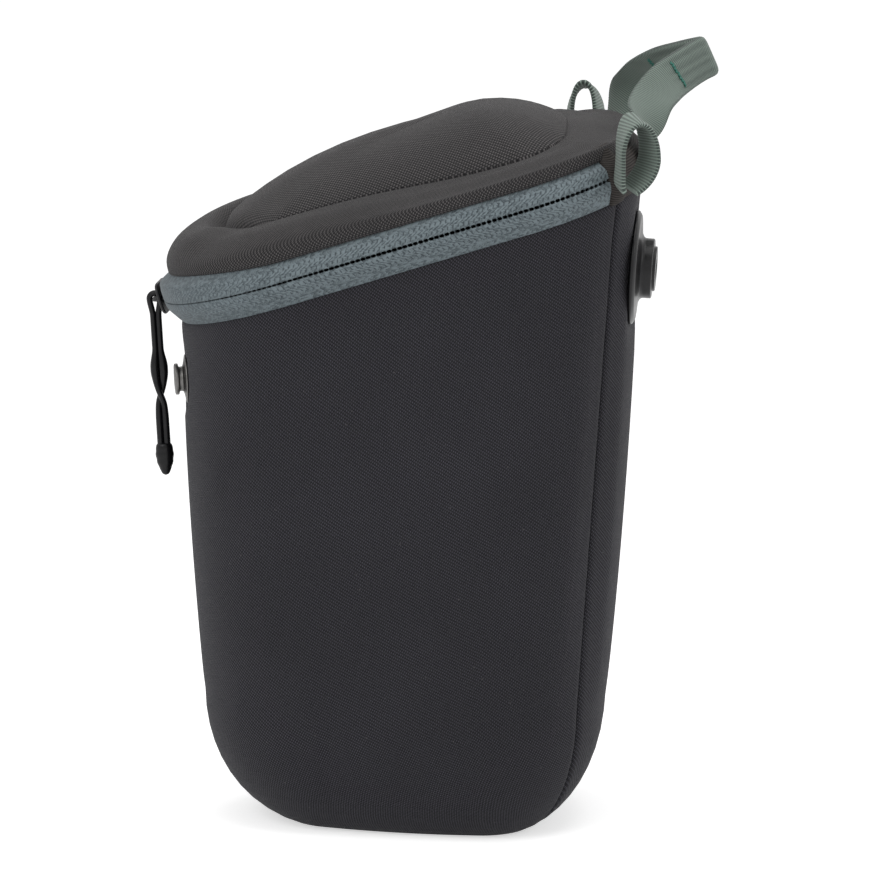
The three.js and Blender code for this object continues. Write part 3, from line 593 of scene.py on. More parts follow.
def sheet_piece(name, outer, inner, material, ring=False, capped=False, cloth=None):
    """A closed body between two grids of points. A capped one closes over its last row."""
    points = np.concatenate([outer.reshape(-1, 3), inner.reshape(-1, 3)])
    index = numbered(outer.shape[:2])
    count = index.size
    wide = closed(index) if ring else index
    cloth = grid_cloth(outer, ring) if cloth is None else cloth
    place = numbered(cloth.shape[:2])
    quads = [grid_quads(wide), grid_quads(wide)[:, ::-1] + count]
    spots = [grid_quads(place), grid_quads(place)[:, ::-1]]

    def border(line, spot):
        quads.append(np.stack([line[1:], line[:-1], line[:-1] + count, line[1:] + count], 1))
        spots.append(np.stack([spot[1:], spot[:-1], spot[:-1], spot[1:]], 1))

    border(wide[0], place[0])
    if not capped:
        border(wide[-1][::-1], place[-1][::-1])
    if not ring:
        border(wide[::-1, 0], place[::-1, 0])
        border(wide[:, -1], place[:, -1])
    faces = np.concatenate(quads).tolist()
    corners = np.concatenate(spots).tolist()
    if capped:
        cap, cap_spots = index[-1], place[-1][:len(index[-1])]
        faces += [cap.tolist(), (cap[::-1] + count).tolist()]
        corners += [cap_spots.tolist(), cap_spots[::-1].tolist()]
    faces, corner_cloth = turned_out(points, faces, corners, cloth)
    return new_piece(name, points, faces, corner_cloth, material)


def bars_piece(name, bars, material, cloths=None, relief=None, crease=60):
    """Closed bars, each a grid of section rings, joined into one object."""
    points, faces, corner_cloth = [], [], []
    start = 0
    for number, rings in enumerate(bars):
        index = numbered(rings.shape[:2])
        cloth = cloths[number] if cloths else grid_cloth(rings, True)
        place = numbered(cloth.shape[:2])
        ends = place[:, :rings.shape[1]]
        own = [*grid_quads(closed(index)).tolist(), index[0][::-1].tolist(), index[-1].tolist()]
        spots = [*grid_quads(place).tolist(), ends[0][::-1].tolist(), ends[-1].tolist()]
        points.append(rings.reshape(-1, 3))
        own, own_cloth = turned_out(points[-1], own, spots, cloth)
        faces += [[start + i for i in face] for face in own]
        corner_cloth.append(own_cloth)
        start += index.size
    points, corner_cloth = np.concatenate(points), np.concatenate(corner_cloth)
    return new_piece(name, points, faces, corner_cloth, material, relief, crease)


def directions(path):
    ahead = np.concatenate([path[1:], path[-1:]])
    behind = np.concatenate([path[:1], path[:-1]])
    along = ahead - behind
    return along / np.linalg.norm(along, axis=1)[:, None]


def tube_rings(path, radii, sides):
    """Round sections along a path, carried without twisting."""
    along = directions(path)
    side = np.array([0.31, 0.9, 0.3])
    turns = np.arange(sides) * 2 * math.pi / sides
    rings = []
    for point, ahead, radius in zip(path, along, np.broadcast_to(radii, len(path))):
        side = side - ahead * (side @ ahead)
        side /= np.linalg.norm(side)
        up = np.cross(ahead, side)
        rings.append(point + radius * (np.cos(turns)[:, None] * side + np.sin(turns)[:, None] * up))
    return np.array(rings)


def rounded(profile, radius, steps=4):
    """A profile of corners with each inner corner rounded."""
    points = [np.array(profile[0], float)]
    for a, b, c in zip(profile, profile[1:], profile[2:]):
        a, b, c = (np.array(p, float) for p in (a, b, c))
        back, ahead = a - b, c - b
        cut = min(radius, np.linalg.norm(back) / 2.2, np.linalg.norm(ahead) / 2.2)
        start = b + back / np.linalg.norm(back) * cut
        end = b + ahead / np.linalg.norm(ahead) * cut
        for f in np.linspace(0, 1, steps):
            points.append((1 - f) ** 2 * start + 2 * f * (1 - f) * b + f * f * end)
    points.append(np.array(profile[-1], float))
    return np.array(points)


def turned_rings(profile, seat, sides):
    """Rings of radius and height pairs about a seat's third axis."""
    origin, across, up, out = seat
    turns = np.arange(sides) * 2 * math.pi / sides
    circle = np.cos(turns)[:, None] * across + np.sin(turns)[:, None] * up
    return np.array([origin + max(r, 1e-5) * circle + h * out for r, h in profile])


def waves(points, length):
    """Slow, fixed waves over points, from -1 to 1."""
    values = [noise.noise(Vector(p) / length) for p in points.reshape(-1, 3)]
    return np.array(values).reshape(points.shape[:-1])


# Shader node groups and materials


class Wiring:
    """Short ways to add nodes to a tree."""

    def __init__(self, tree):
        self.tree = tree

    def add(self, kind, inputs=None, **settings):
        made = self.tree.nodes.new(kind)
        for key, value in settings.items():
            setattr(made, key, value)
        for key, value in (inputs or {}).items():
            self.put(made.inputs[key], value)
        return made

    def put(self, socket, value):
        if isinstance(value, bpy.types.NodeSocket):
            self.tree.links.new(value, socket)
        else:
            socket.default_value = value

    def math(self, operation, *values):
        return self.add("ShaderNodeMath", dict(enumerate(values)), operation=operation).outputs[0]

    def mix(self, factor, low, high):
        made = self.add("ShaderNodeMix", data_type="RGBA")
        self.put(made.inputs[0], factor)
        self.put(made.inputs[6], low)
        self.put(made.inputs[7], high)
        return made.outputs[2]

    def noise(self, vector, scale, detail=2.0):
        values = {"Vector": vector, "Scale": scale, "Detail": detail}
        return self.add("ShaderNodeTexNoise", values).outputs["Fac"]

    def remap(self, value, low, high, to_low=0.0, to_high=1.0):
        made = self.add("ShaderNodeMapRange", {0: value, 1: low, 2: high, 3: to_low, 4: to_high})
        return made.outputs[0]

    def span(self, value, low, high):
        """A value from 0 to 1, spread from low to high."""
        return self.remap(value, 0.0, 1.0, low, high)

    def wave(self, operation, turns):
        """A sine or cosine of whole turns, from 0 to 1."""
        swing = self.math(operation, self.math("MULTIPLY", turns, 2 * math.pi))
        return self.math("MULTIPLY_ADD", swing, 0.5, 0.5)


def new_group(name, place, amounts, results):
    """A node group that takes a place and some amounts, and gives amounts."""
    tree = bpy.data.node_groups.new(name, "ShaderNodeTree")
    tree.interface.new_socket(place, in_out="INPUT", socket_type="NodeSocketVector")
    for label in amounts:
        tree.interface.new_socket(label, in_out="INPUT", socket_type="NodeSocketFloat")
    for label in results:
        tree.interface.new_socket(label, in_out="OUTPUT", socket_type="NodeSocketFloat")
    wiring = Wiring(tree)
    given = wiring.add("NodeGroupInput").outputs
    result = wiring.add("NodeGroupOutput").inputs
    return wiring, given, result


def plain_weave_group():
    """Threads that pass over and under each other, with a tone of its own for each crossing."""
    w, given, result = new_group("Plain weave", "Cloth", ["Pitch", "Waver"], ["Height", "Tone", "Warp"])
    parts = w.add("ShaderNodeSeparateXYZ", {0: given["Cloth"]}).outputs
    drift = w.math("SUBTRACT", w.noise(given["Cloth"], 180.0), 0.5)
    drift = w.math("MULTIPLY", drift, given["Waver"])
    warp = w.math("ADD", w.math("DIVIDE", parts[0], given["Pitch"]), drift)
    weft = w.math("ADD", w.math("DIVIDE", parts[1], given["Pitch"]), drift)

    def thread(own, other, shift):
        body = w.math("ABSOLUTE", w.math("SINE", w.math("MULTIPLY", own, math.pi)))
        phase = w.math("ADD", other, w.math("ADD", w.math("FLOOR", own), shift))
        over = w.math("COSINE", w.math("MULTIPLY", phase, math.pi))
        return w.math("MULTIPLY", body, w.math("MULTIPLY_ADD", over, 0.5, 0.5))

    upper, lower = thread(warp, weft, 0.5), thread(weft, warp, 1.5)
    cell = w.add("ShaderNodeCombineXYZ", {0: w.math("FLOOR", warp), 1: w.math("FLOOR", weft)}).outputs[0]
    tone = w.add("ShaderNodeTexWhiteNoise", {"Vector": cell}, noise_dimensions="2D").outputs["Value"]
    w.put(result["Height"], w.math("MAXIMUM", upper, lower))
    w.put(result["Tone"], tone)
    w.put(result["Warp"], w.math("GREATER_THAN", upper, lower))


def lint_group():
    """Stray specks and short fibres."""
    w, given, result = new_group("Lint", "Place", ["Amount"], ["Mask"])
    values = {"Vector": given["Place"], "Scale": 260.0}
    cells = w.add("ShaderNodeTexVoronoi", values, feature="F1")
    chance = w.add("ShaderNodeSeparateXYZ", {0: cells.outputs["Color"]}).outputs[0]
    chosen = w.math("LESS_THAN", chance, given["Amount"])
    near = w.remap(cells.outputs["Distance"], 0.09, 0.03)
    w.put(result["Mask"], w.math("MULTIPLY", chosen, near))


def patina_group():
    """Slow blotches and fine scuffs."""
    w, given, result = new_group("Patina", "Place", ["Scale"], ["Blotch", "Scuff"])
    blotch = w.noise(given["Place"], given["Scale"], 4.0)
    fine = w.noise(given["Place"], w.math("MULTIPLY", given["Scale"], 9.0), 6.0)
    w.put(result["Blotch"], w.remap(blotch, 0.3, 0.7))
    w.put(result["Scuff"], w.remap(fine, 0.58, 0.72))


def ribs_group():
    """Cross ribs of a woven strap, with threads in each rib and a corded edge."""
    w, given, result = new_group("Ribs", "Cloth", ["Pitch"], ["Height", "Thread", "Edge"])
    parts = w.add("ShaderNodeSeparateXYZ", {0: given["Cloth"]}).outputs
    wander = w.math("MULTIPLY", w.noise(given["Cloth"], 300.0), 0.5)
    along = w.math("ADD", w.math("DIVIDE", parts[1], given["Pitch"]), wander)
    rib = w.wave("COSINE", along)
    across = w.math("DIVIDE", parts[0], given["Pitch"])
    slant = w.math("ADD", w.math("MULTIPLY", across, 2.0), along)
    yarn = w.wave("SINE", slant)
    w.put(result["Height"], rib)
    w.put(result["Thread"], yarn)
    w.put(result["Edge"], w.remap(parts[2], 0.5, 0.75))


def new_material(name):
    material = bpy.data.materials.new(name)
    material.use_nodes = True
    wiring = Wiring(material.node_tree)
    shader = material.node_tree.nodes["Principled BSDF"]
    return material, wiring, shader


def group_node(wiring, name, inputs):
    made = wiring.add("ShaderNodeGroup", node_tree=bpy.data.node_groups[name])
    for key, value in inputs.items():
        wiring.put(made.inputs[key], value)
    return made.outputs


def cloth_place(wiring):
    cloth = wiring.add("ShaderNodeAttribute", attribute_name="cloth").outputs["Vector"]
    place = wiring.add("ShaderNodeTexCoord").outputs["Object"]
    return cloth, place


def set_bump(wiring, shader, height, strength, distance):
    values = {"Height": height, "Strength": strength, "Distance": distance}
    wiring.put(shader.inputs["Normal"], wiring.add("ShaderNodeBump", values).outputs[0])


def opaque(colour):
    return (*colour, 1.0)


def cloth_material(name, low, high, pitch, lint=0.2, relief=0.2 * MM, sheen=0.05):
    """A plain-weave cloth with uneven threads of two tones, faded blotches and faint lint."""
    material, w, shader = new_material(name)
    cloth, place = cloth_place(w)
    weave = group_node(w, "Plain weave", {"Cloth": cloth, "Pitch": pitch, "Waver": 0.5})
    patina = group_node(w, "Patina", {"Place": place, "Scale": 22.0})
    specks = group_node(w, "Lint", {"Place": place, "Amount": lint})
    top = w.math("MULTIPLY_ADD", weave["Tone"], 0.4, 0.7)
    top = w.math("MULTIPLY", top, w.span(weave["Warp"], 0.12, 1.0))
    lift = w.math("MULTIPLY", weave["Height"], top)
    lift = w.math("MULTIPLY", lift, w.span(patina["Blotch"], 0.82, 1.12))
    colour = w.mix(lift, opaque(low), opaque(high))
    colour = w.mix(w.math("MULTIPLY", specks["Mask"], 0.35), colour, opaque(colours().lint))
    w.put(shader.inputs["Base Color"], colour)
    w.put(shader.inputs["Roughness"], w.span(weave["Tone"], 0.7, 0.9))
    shader.inputs["Sheen Weight"].default_value = sheen
    shader.inputs["Sheen Roughness"].default_value = 0.45
    shader.inputs["Specular IOR Level"].default_value = 0.25
    set_bump(w, shader, weave["Height"], 0.7, relief)
    return material


def lining_material():
    """A brushed knit with a soft nap."""
    material, w, shader = new_material("Brushed lining")
    cloth, place = cloth_place(w)
    weave = group_node(w, "Plain weave", {"Cloth": cloth, "Pitch": 0.9 * MM, "Waver": 2.2})
    nap = w.noise(place, 900.0, 6.0)
    patina = group_node(w, "Patina", {"Place": place, "Scale": 26.0})
    lift = w.math("MULTIPLY_ADD", weave["Height"], 0.35, w.math("MULTIPLY", nap, 0.75))
    lift = w.math("MULTIPLY", lift, w.span(patina["Blotch"], 0.8, 1.1))
    colour = w.mix(lift, opaque(colours().lining_dark), opaque(colours().lining_light))
    w.put(shader.inputs["Base Color"], colour)
    w.put(shader.inputs["Roughness"], w.remap(nap, 0.2, 0.8, 0.85, 1.0))
    shader.inputs["Sheen Weight"].default_value = 0.35
    shader.inputs["Sheen Roughness"].default_value = 0.6
    set_bump(w, shader, lift, 0.5, 0.3 * MM)
    return material


def tape_material():
    """Woven zip tape: herringbone, with rows of slanted stitches and holes beside the slit."""
    material, w, shader = new_material("Zip tape")
    cloth, place = cloth_place(w)
    track, reach, rear = w.add("ShaderNodeSeparateXYZ", {0: cloth}).outputs[:3]
    patina = group_node(w, "Patina", {"Place": place, "Scale": 30.0})
    stitch, hole = 0.0, 0.0
    turn = w.math("DIVIDE", track, sizes().zip_pitch)
    for centre, slant in STITCH_ROWS:
        away = w.math("DIVIDE", w.math("SUBTRACT", reach, centre), STITCH_WIDTH)
        band = w.remap(w.math("ABSOLUTE", away), 1.0, 0.55)
        phase = w.math("FRACT", w.math("MULTIPLY_ADD", away, slant, turn))
        middle = w.math("ABSOLUTE", w.math("MULTIPLY_ADD", phase, 2.0, -1.0))
        stitch = w.math("MAXIMUM", stitch, w.math("MULTIPLY", band, w.remap(middle, 0.7, 0.35)))
        hole = w.math("MAXIMUM", hole, w.math("MULTIPLY", band, w.remap(middle, 0.72, 0.95)))
    rib = w.math("PINGPONG", w.math("DIVIDE", reach, 1.1 * MM), 1.0)
    slope = w.math("MULTIPLY_ADD", rib, 1.2, w.math("DIVIDE", track, 0.8 * MM))
    yarn = w.wave("SINE", slope)
    across = w.math("FLOOR", w.math("DIVIDE", reach, 0.45 * MM))
    cell = w.add("ShaderNodeCombineXYZ", {0: w.math("FLOOR", slope), 1: across}).outputs[0]
    grain = w.add("ShaderNodeTexWhiteNoise", {"Vector": cell}, noise_dimensions="2D").outputs["Value"]
    clear = w.remap(rear, 0.0, 0.45, 0.3, 1.0)
    lift = w.math("MULTIPLY_ADD", yarn, 0.3, w.math("MULTIPLY_ADD", patina["Blotch"], 0.12, 0.22))
    lift = w.math("MULTIPLY_ADD", w.math("MULTIPLY", grain, clear), 0.9, w.math("SUBTRACT", lift, 0.2))
    lift = w.math("MULTIPLY_ADD", w.math("MULTIPLY", stitch, clear), 0.3, lift)
    lift = w.math("MULTIPLY", lift, w.math("MULTIPLY_ADD", w.math("MULTIPLY", hole, clear), -0.95, 1.0))
    colour = w.mix(lift, opaque(colours().tape_dark), opaque(colours().tape_light))
    w.put(shader.inputs["Base Color"], colour)
    w.put(shader.inputs["Roughness"], w.span(yarn, 0.65, 0.88))
    shader.inputs["Sheen Weight"].default_value = 0.08
    set_bump(w, shader, lift, 0.6, 0.22 * MM)
    return material


def ribbed_material(name, low, high, pitch):
    """A narrow cloth with fine ribs along it."""
    material, w, shader = new_material(name)
    cloth, place = cloth_place(w)
    ribs = group_node(w, "Ribs", {"Cloth": cloth, "Pitch": pitch})
    patina = group_node(w, "Patina", {"Place": place, "Scale": 30.0})
    lift = w.math("MULTIPLY_ADD", ribs["Thread"], 0.2, w.math("MULTIPLY", ribs["Height"], 0.6))
    lift = w.math("MULTIPLY", lift, w.span(patina["Blotch"], 0.75, 1.15))
    w.put(shader.inputs["Base Color"], w.mix(lift, opaque(low), opaque(high)))
    w.put(shader.inputs["Roughness"], w.span(ribs["Thread"], 0.7, 0.9))
    shader.inputs["Specular IOR Level"].default_value = 0.25
    set_bump(w, shader, ribs["Height"], 0.6, 0.25 * MM)
    return material


def webbing_material():
    """Ribbed webbing with dotted, corded edges, and painted shade in the grip's grooves, taken from the
    relief.
    """
    material, w, shader = new_material("Webbing")
    cloth, place = cloth_place(w)
    relief = w.add("ShaderNodeAttribute", attribute_name="relief").outputs["Fac"]
    ribs = group_node(w, "Ribs", {"Cloth": cloth, "Pitch": sizes().rib_pitch})
    patina = group_node(w, "Patina", {"Place": place, "Scale": 40.0})
    # The relief carries painted shade in the grip's grooves into the colour
    lift = w.math("MULTIPLY_ADD", ribs["Thread"], 0.3, w.math("MULTIPLY", relief, 0.62))
    lift = w.math("MULTIPLY", lift, w.span(patina["Blotch"], 0.85, 1.1))
    dots = w.remap(relief, 0.68, 0.92, 0.02, 1.15)
    inside = w.math("MULTIPLY", lift, w.math("SUBTRACT", 1.0, ribs["Edge"]))
    lift = w.math("MULTIPLY_ADD", ribs["Edge"], dots, inside)
    colour = w.mix(lift, opaque(colours().webbing_dark), opaque(colours().webbing_light))
    w.put(shader.inputs["Base Color"], colour)
    w.put(shader.inputs["Roughness"], w.span(ribs["Thread"], 0.62, 0.82))
    shader.inputs["Sheen Weight"].default_value = 0.15
    set_bump(w, shader, ribs["Thread"], 0.5, 0.12 * MM)
    return material


def thread_material(name, colour):
    """Twisted sewing thread."""
    material, w, shader = new_material(name)
    place = w.add("ShaderNodeTexCoord").outputs["Object"]
    twist = w.noise(place, 2600.0, 3.0)
    dark = opaque([0.45 * c for c in colour])
    w.put(shader.inputs["Base Color"], w.mix(twist, dark, opaque([1.3 * c for c in colour])))
    w.put(shader.inputs["Roughness"], w.remap(twist, 0.2, 0.8, 0.45, 0.7))
    set_bump(w, shader, twist, 0.4, 0.08 * MM)
    return material


def hard_material(name, colour, roughness, metallic=0.0, grain=0.02 * MM, gloss=0.5):
    """A moulded or plated finish with scuffs and uneven gloss."""
    material, w, shader = new_material(name)
    place = w.add("ShaderNodeTexCoord").outputs["Object"]
    patina = group_node(w, "Patina", {"Place": place, "Scale": 90.0})
    worn = w.math("MULTIPLY", patina["Scuff"], 0.35)
    colour_out = w.mix(patina["Blotch"], opaque([0.82 * c for c in colour]), opaque(colour))
    colour_out = w.mix(worn, colour_out, opaque([min(1, 1.9 * c + 0.01) for c in colour]))
    w.put(shader.inputs["Base Color"], colour_out)
    w.put(shader.inputs["Roughness"], w.span(patina["Blotch"], roughness, roughness + 0.14))
    shader.inputs["Metallic"].default_value = metallic
    shader.inputs["Specular IOR Level"].default_value = gloss
    set_bump(w, shader, w.noise(place, 1500.0, 3.0), 0.2, grain)
    return material


def make_materials():
    """Every finish, by the name of the record's slot or of the piece that wears it."""
    c = colours()
    pitch = sizes().weave_pitch
    for make_group in (plain_weave_group, lint_group, patina_group, ribs_group):
        make_group()
    return {
        "shell_fabric": cloth_material("Body cloth", c.shell_dark, c.shell_light, pitch),
        # The lid's cloth is a lighter copy of the body cloth: painted top light
        "lid_fabric_painted_top_light": cloth_material("Lid cloth with painted top light", c.shell_dark, c.lid_high_with_painted_top_light, pitch, 0.3),
        "binding": ribbed_material("Ribbed binding", c.binding_dark, c.binding_light, 0.8 * MM),
        "lining": lining_material(),
        "zip_tape": tape_material(),
        "zip_coil": hard_material("Zip coil", c.coil, 0.4),
        "webbing": webbing_material(),
        "tack": thread_material("Tack thread", c.tack),
        "stud_metal": hard_material("Gunmetal", c.metal, 0.26, 1.0),
        "slider_paint": hard_material("Painted slider", c.rubber, 0.3, gloss=0.3),
        "button_plastic": hard_material("Moulded button", c.plastic, 0.24, gloss=0.3),
        "pull_rubber": hard_material("Coated pull", c.rubber, 0.24, gloss=0.25),
    }


MATERIALS = {}


def finish_piece(piece, body, slot, *nodes):
    """A piece that rides on a body and stands for solids, which it hides. The slot is not used."""
    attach(piece, body)
    if nodes:
        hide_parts(*nodes)
    return piece


# Walls


def draw_in(points):
    """How far the foot rounds in under the bag: further at its front and its back."""
    place = 2 * points[:, 1] / FOOT_LENGTH - 1
    return FOOT_DRAW_IN + FOOT_END_DRAW_IN * place ** 2


def wall_grid(runs, heights, turns, depths):
    """Rows of a wall at their own depths: from the rim edge (1) to the foot (0), then round under it."""
    rim_points, rim_normals = RIM.track(runs)
    foot_points, foot_normals = FOOT.track(runs)
    draw = draw_in(foot_points)
    rows = []
    for height, depth in zip(heights, depths):
        depth = np.broadcast_to(depth, len(rim_points))[:, None]
        top = on_rim(rim_points - (TAPE_DRAW_IN + depth) * rim_normals, -FABRIC_EDGE)
        low = at_foot(foot_points - depth * foot_normals, FOOT_HEIGHT)
        rows.append(lerp(low, top, height))
    for turn, depth in zip(turns, depths[len(heights):]):
        depth = np.broadcast_to(depth, len(foot_points))
        inset = draw - (draw - depth) * math.cos(turn)
        z = FOOT_HEIGHT - (FOOT_HEIGHT - depth) * math.sin(turn)
        rows.append(at_foot(foot_points - inset[:, None] * foot_normals, z))
    return np.array(rows)


TOP_STEPS = np.array([-0.9, -0.75, -0.45, 0.0, 0.7, 1.6, 3, 5, 8]) * MM
UNDER_STEPS = np.concatenate([np.linspace(0, 0.9, 11)[1:], [0.94, 0.965, 0.985, 1.0]])


def wall_levels():
    """Distances of the wall's rows below the rim edge, and the turns of its rows under the foot."""
    drops = np.concatenate([TOP_STEPS, np.linspace(TOP_STEPS[-1], WALL_RUN, 26)[1:]])
    return drops, 1 - drops / WALL_RUN, UNDER_STEPS * math.pi / 2


def outer_depths(runs, swell):
    """Depth of the outer cloth below the plain wall: swollen in its middle, rolled in at its edges."""
    drops, heights, turns = wall_levels()
    s = sizes()
    track = lengths(RIM.track(runs)[0])
    from_seam = np.minimum(track, track[-1] - track)
    seam = s.seam_depth * roll(from_seam, s.seam_roll)
    hold = smooth(0, 12 * MM, from_seam)
    rows = []
    for drop, height in zip(drops, heights):
        bow = swell * np.sin(math.pi * np.clip(height, 0, 1)) ** 0.7 * hold
        lift = s.edge_lift * (1 - smooth(0, 9 * MM, drop))
        fold = FABRIC * roll(drop - TOP_STEPS[0], 1.0 * MM)
        wave = 0.4 * s.ripple * np.sin(track / (17 * MM) + drop / (23 * MM))
        wave = wave * hold * smooth(2 * MM, 20 * MM, drop)
        rows.append(seam + fold - bow - lift + wave)
    for turn in turns:
        left = (1 - turn / (math.pi / 2)) * 30 * MM
        rows.append(np.maximum(seam + UNDER_SEAM_DEPTH * roll(left, UNDER_SEAM_ROLL), 0))
    return rows


def press(points, seat, radius):
    """Cloth drawn flat under a fastener."""
    origin, _, _, out = seat
    away = points - origin
    height = away @ out
    distance = np.linalg.norm(away - height[..., None] * out, axis=-1)
    near = (1 - smooth(radius, PRESS_SPREAD * radius, distance)) * (np.abs(height) < PRESS_DEPTH)
    return points - (np.maximum(height + PRESS_GAP, 0) * near)[..., None] * out


def slack(runs):
    """How far a wall's cloth is free to move: held at its seams, its rim edge and under the foot."""
    drops, _, turns = wall_levels()
    track = lengths(RIM.track(runs)[0])
    across = smooth(1 * MM, 16 * MM, np.minimum(track, track[-1] - track))
    down = np.concatenate([smooth(2 * MM, 16 * MM, drops), 1 - smooth(0.3, 0.9, turns / (math.pi / 2))])
    return down[:, None] * across


def wall_seat(kind, share, z):
    """Origin and axes of a fastener on the outer wall: across, up and out."""
    run = [(kind, 1, [share - 0.01, share, share + 0.01])]
    top = wall_grid(run, [1], [], [0])[0]
    low = wall_grid(run, [0], [], [0])[0]
    at = low + (top - low) * ((z - low[:, 2]) / (top[:, 2] - low[:, 2]))[:, None]
    up = (top[1] - low[1]) / np.linalg.norm(top[1] - low[1])
    out = np.cross(up, at[2] - at[0])
    out /= np.linalg.norm(out)
    return at[1], np.cross(up, out), up, out


def node_height(node):
    low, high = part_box(node)
    return (low.z + high.z) / 2


def stud_seat():
    return wall_seat("front", 0.5, node_height("front_stud"))


def button_seat(side):
    low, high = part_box("back_button_right")
    x = abs(low.x + high.x) / 2
    share = (1 + side * math.asin(x / RIM.back_radius) / BACK_ARC) / 2
    return wall_seat("back", share, node_height("back_button_right"))


class WALLS_OT_build(bpy.types.Operator):
    """Builds the padded side wall, the back wall and the base"""

    bl_idname = "insert.build_walls"
    bl_label = "Walls and base"

    def execute(self, context):
        swell = sizes().wall_swell
        side = wrap_runs(GRID_STEP, edged_shares(CORNER_RUN, GRID_STEP))
        wall = self.wall("side_wall", side, swell, STUD_RADIUS, stud_seat())
        finish_piece(wall, "bucket", "shell_fabric", "side_wrap", "wall_foam")

        back = back_runs(GRID_STEP, edged_shares(BACK_CORNER_RUN, GRID_STEP))
        seats = button_seat(-1), button_seat(1)
        wall = self.wall("back_wall", back, BACK_SWELL * swell, BUTTON_RADIUS, *seats)
        nodes = ("back_panel", "back_foam", "back_board")
        finish_piece(wall, "bucket", "shell_fabric", *nodes)
        self.base()
        return {"FINISHED"}

    def wall(self, name, runs, swell, radius, *seats):
        """A padded wall that swells between its seams and lies flat under its fasteners."""
        _, heights, turns = wall_levels()
        outer = wall_grid(runs, heights, turns, outer_depths(runs, swell))
        inner = wall_grid(runs, heights, turns, [PAD_DEPTH] * len(outer))
        wall = sheet_piece(name, outer, inner, MATERIALS["shell_fabric"])
        settle(wall, slack(runs))
        points = read_points(wall)
        for seat in seats:
            points = press(points, seat, radius)
        write_points(wall, points)
        return wall

    def base(self):
        points, normals = FOOT.track(ring_runs(BASE_STEP))
        edge = points - (draw_in(points) + BASE_GAP)[:, None] * normals
        centre = edge.mean(0)
        rise = UNDER_SEAM_DEPTH * roll((1 - BASE_REACH) * 50 * MM, UNDER_SEAM_ROLL)
        outer = np.array([at_foot(lerp(centre, edge, f), z) for f, z in zip(BASE_REACH, rise)])
        inner = np.array([at_foot(lerp(centre, edge, f), PAD_DEPTH) for f in BASE_REACH])
        wide = closed(outer)
        cloth = np.stack([wide[..., 0], wide[..., 1], np.zeros(wide.shape[:2])], -1)
        base = sheet_piece("base", outer, inner, MATERIALS["shell_fabric"], True, True, cloth)
        finish_piece(base, "bucket", "shell_fabric", "base_panel", "base_foam")


# Lining and rim binding


class LINING_OT_build(bpy.types.Operator):
    """Builds the bucket's lining and the binding along its rim"""

    bl_idname = "insert.build_lining"
    bl_label = "Lining"

    def execute(self, context):
        runs = ring_runs(LINING_STEP)
        heights = np.concatenate([[1.0, 0.99, 0.97], np.linspace(0.94, 0, 18)])
        turns = np.linspace(0, math.pi / 2, 9)[1:]
        count = len(heights) + len(turns)
        outer = wall_grid(runs, heights, turns, [LINING_DEPTH] * count)
        inner = wall_grid(runs, heights, turns, [PAD_DEPTH + CLEARANCE] * count)
        outer, inner = self.floor(outer), self.floor(inner)
        lining = sheet_piece("inner_lining", outer, inner, MATERIALS["lining"], True, True)
        finish_piece(lining, "bucket", "lining", "lining")
        self.binding(runs)
        return {"FINISHED"}

    def floor(self, grid):
        centre = grid[-1].mean(0)
        return np.concatenate([grid, [lerp(centre, grid[-1], f) for f in LINING_FLOOR_REACH]])

    def binding(self, runs):
        points, normals = RIM.track(runs)
        track = lengths(points)
        low, high = FABRIC + CLEARANCE, LINING_DEPTH + 0.6 * MM
        middle, half = (low + high) / 2, (high - low) / 2
        turns = np.linspace(0, 2 * math.pi, 17)[:-1]
        pucker = 1 + 0.05 * np.sin(track / (1.4 * MM))
        rings = []
        for turn in turns:
            inset = TAPE_DRAW_IN + middle - half * np.cos(turn) * np.ones(len(points))
            rise = np.where(np.sin(turn) > 0, 1.5, 0.4) * MM * np.sin(turn) * pucker
            rings.append(inset_rim(points, normals, inset, rise - TAPE_EDGE + 0.1 * MM))
        grid = np.array(rings).transpose(1, 0, 2)
        grid = np.concatenate([grid, grid[:1]])
        binding = bars_piece("rim_roll", [grid], MATERIALS["binding"])
        finish_piece(binding, "bucket", "lining", "rim_binding")


# Zip


def frontness(normals):
    return smooth(0.15, 0.95, -normals[:, 1])


def lid_edge(front):
    """How far the lid's cloth edge lies inside the rim outline: further at the front."""
    return lerp(LID_SIDE_EDGE, LID_FRONT_EDGE, front)


def crest_inset(normals):
    """How far the top of the lid's border lies inside the rim outline: further at the front and back."""
    ends = np.maximum(frontness(normals), frontness(-normals))
    return lerp(SIDE_CREST, END_CREST, ends)


def tape_inset(side, reach, front):
    """How far a tape lies inside the rim outline at a distance from the slit."""
    f = np.clip(np.asarray(reach, float) / TAPE_WIDTH, 0, 1)
    if side < 0:
        return TAPE_DRAW_IN * f ** 1.585 + 0 * front
    return lerp(UPPER_TAPE_SIDE, UPPER_TAPE_FRONT, front) * smooth(lerp(0.25, 0.6, front), 1, f)


def slit_gap(track):
    """Half the gap between the tapes: a hairline at the front, open dashes towards the back."""
    rear = np.abs(2 * track / track[-1] - 1)
    dash = 1 - np.abs(2 * (track / sizes().zip_pitch % 1) - 1)
    wide = lerp(0.08 * MM, 0.5 * MM, smooth(0.08, 0.55, rear))
    return lerp(0.06 * MM, wide, smooth(0.1, 0.32, dash))


def stitch_relief(track, reach):
    """Height of the woven chain beside the slit, from -1 in its holes to 1 on its stitches."""
    turn = 2 * math.pi * track / sizes().zip_pitch
    total = np.zeros(np.broadcast_shapes(track.shape, reach.shape))
    for centre, slant in STITCH_ROWS:
        away = (reach - centre) / STITCH_WIDTH
        wave = -np.cos(turn + 2 * math.pi * slant * away)
        total = total + np.exp(-2 * away ** 2) * (0.3 + 0.7 * wave)
    return np.clip(total, -1, 1)


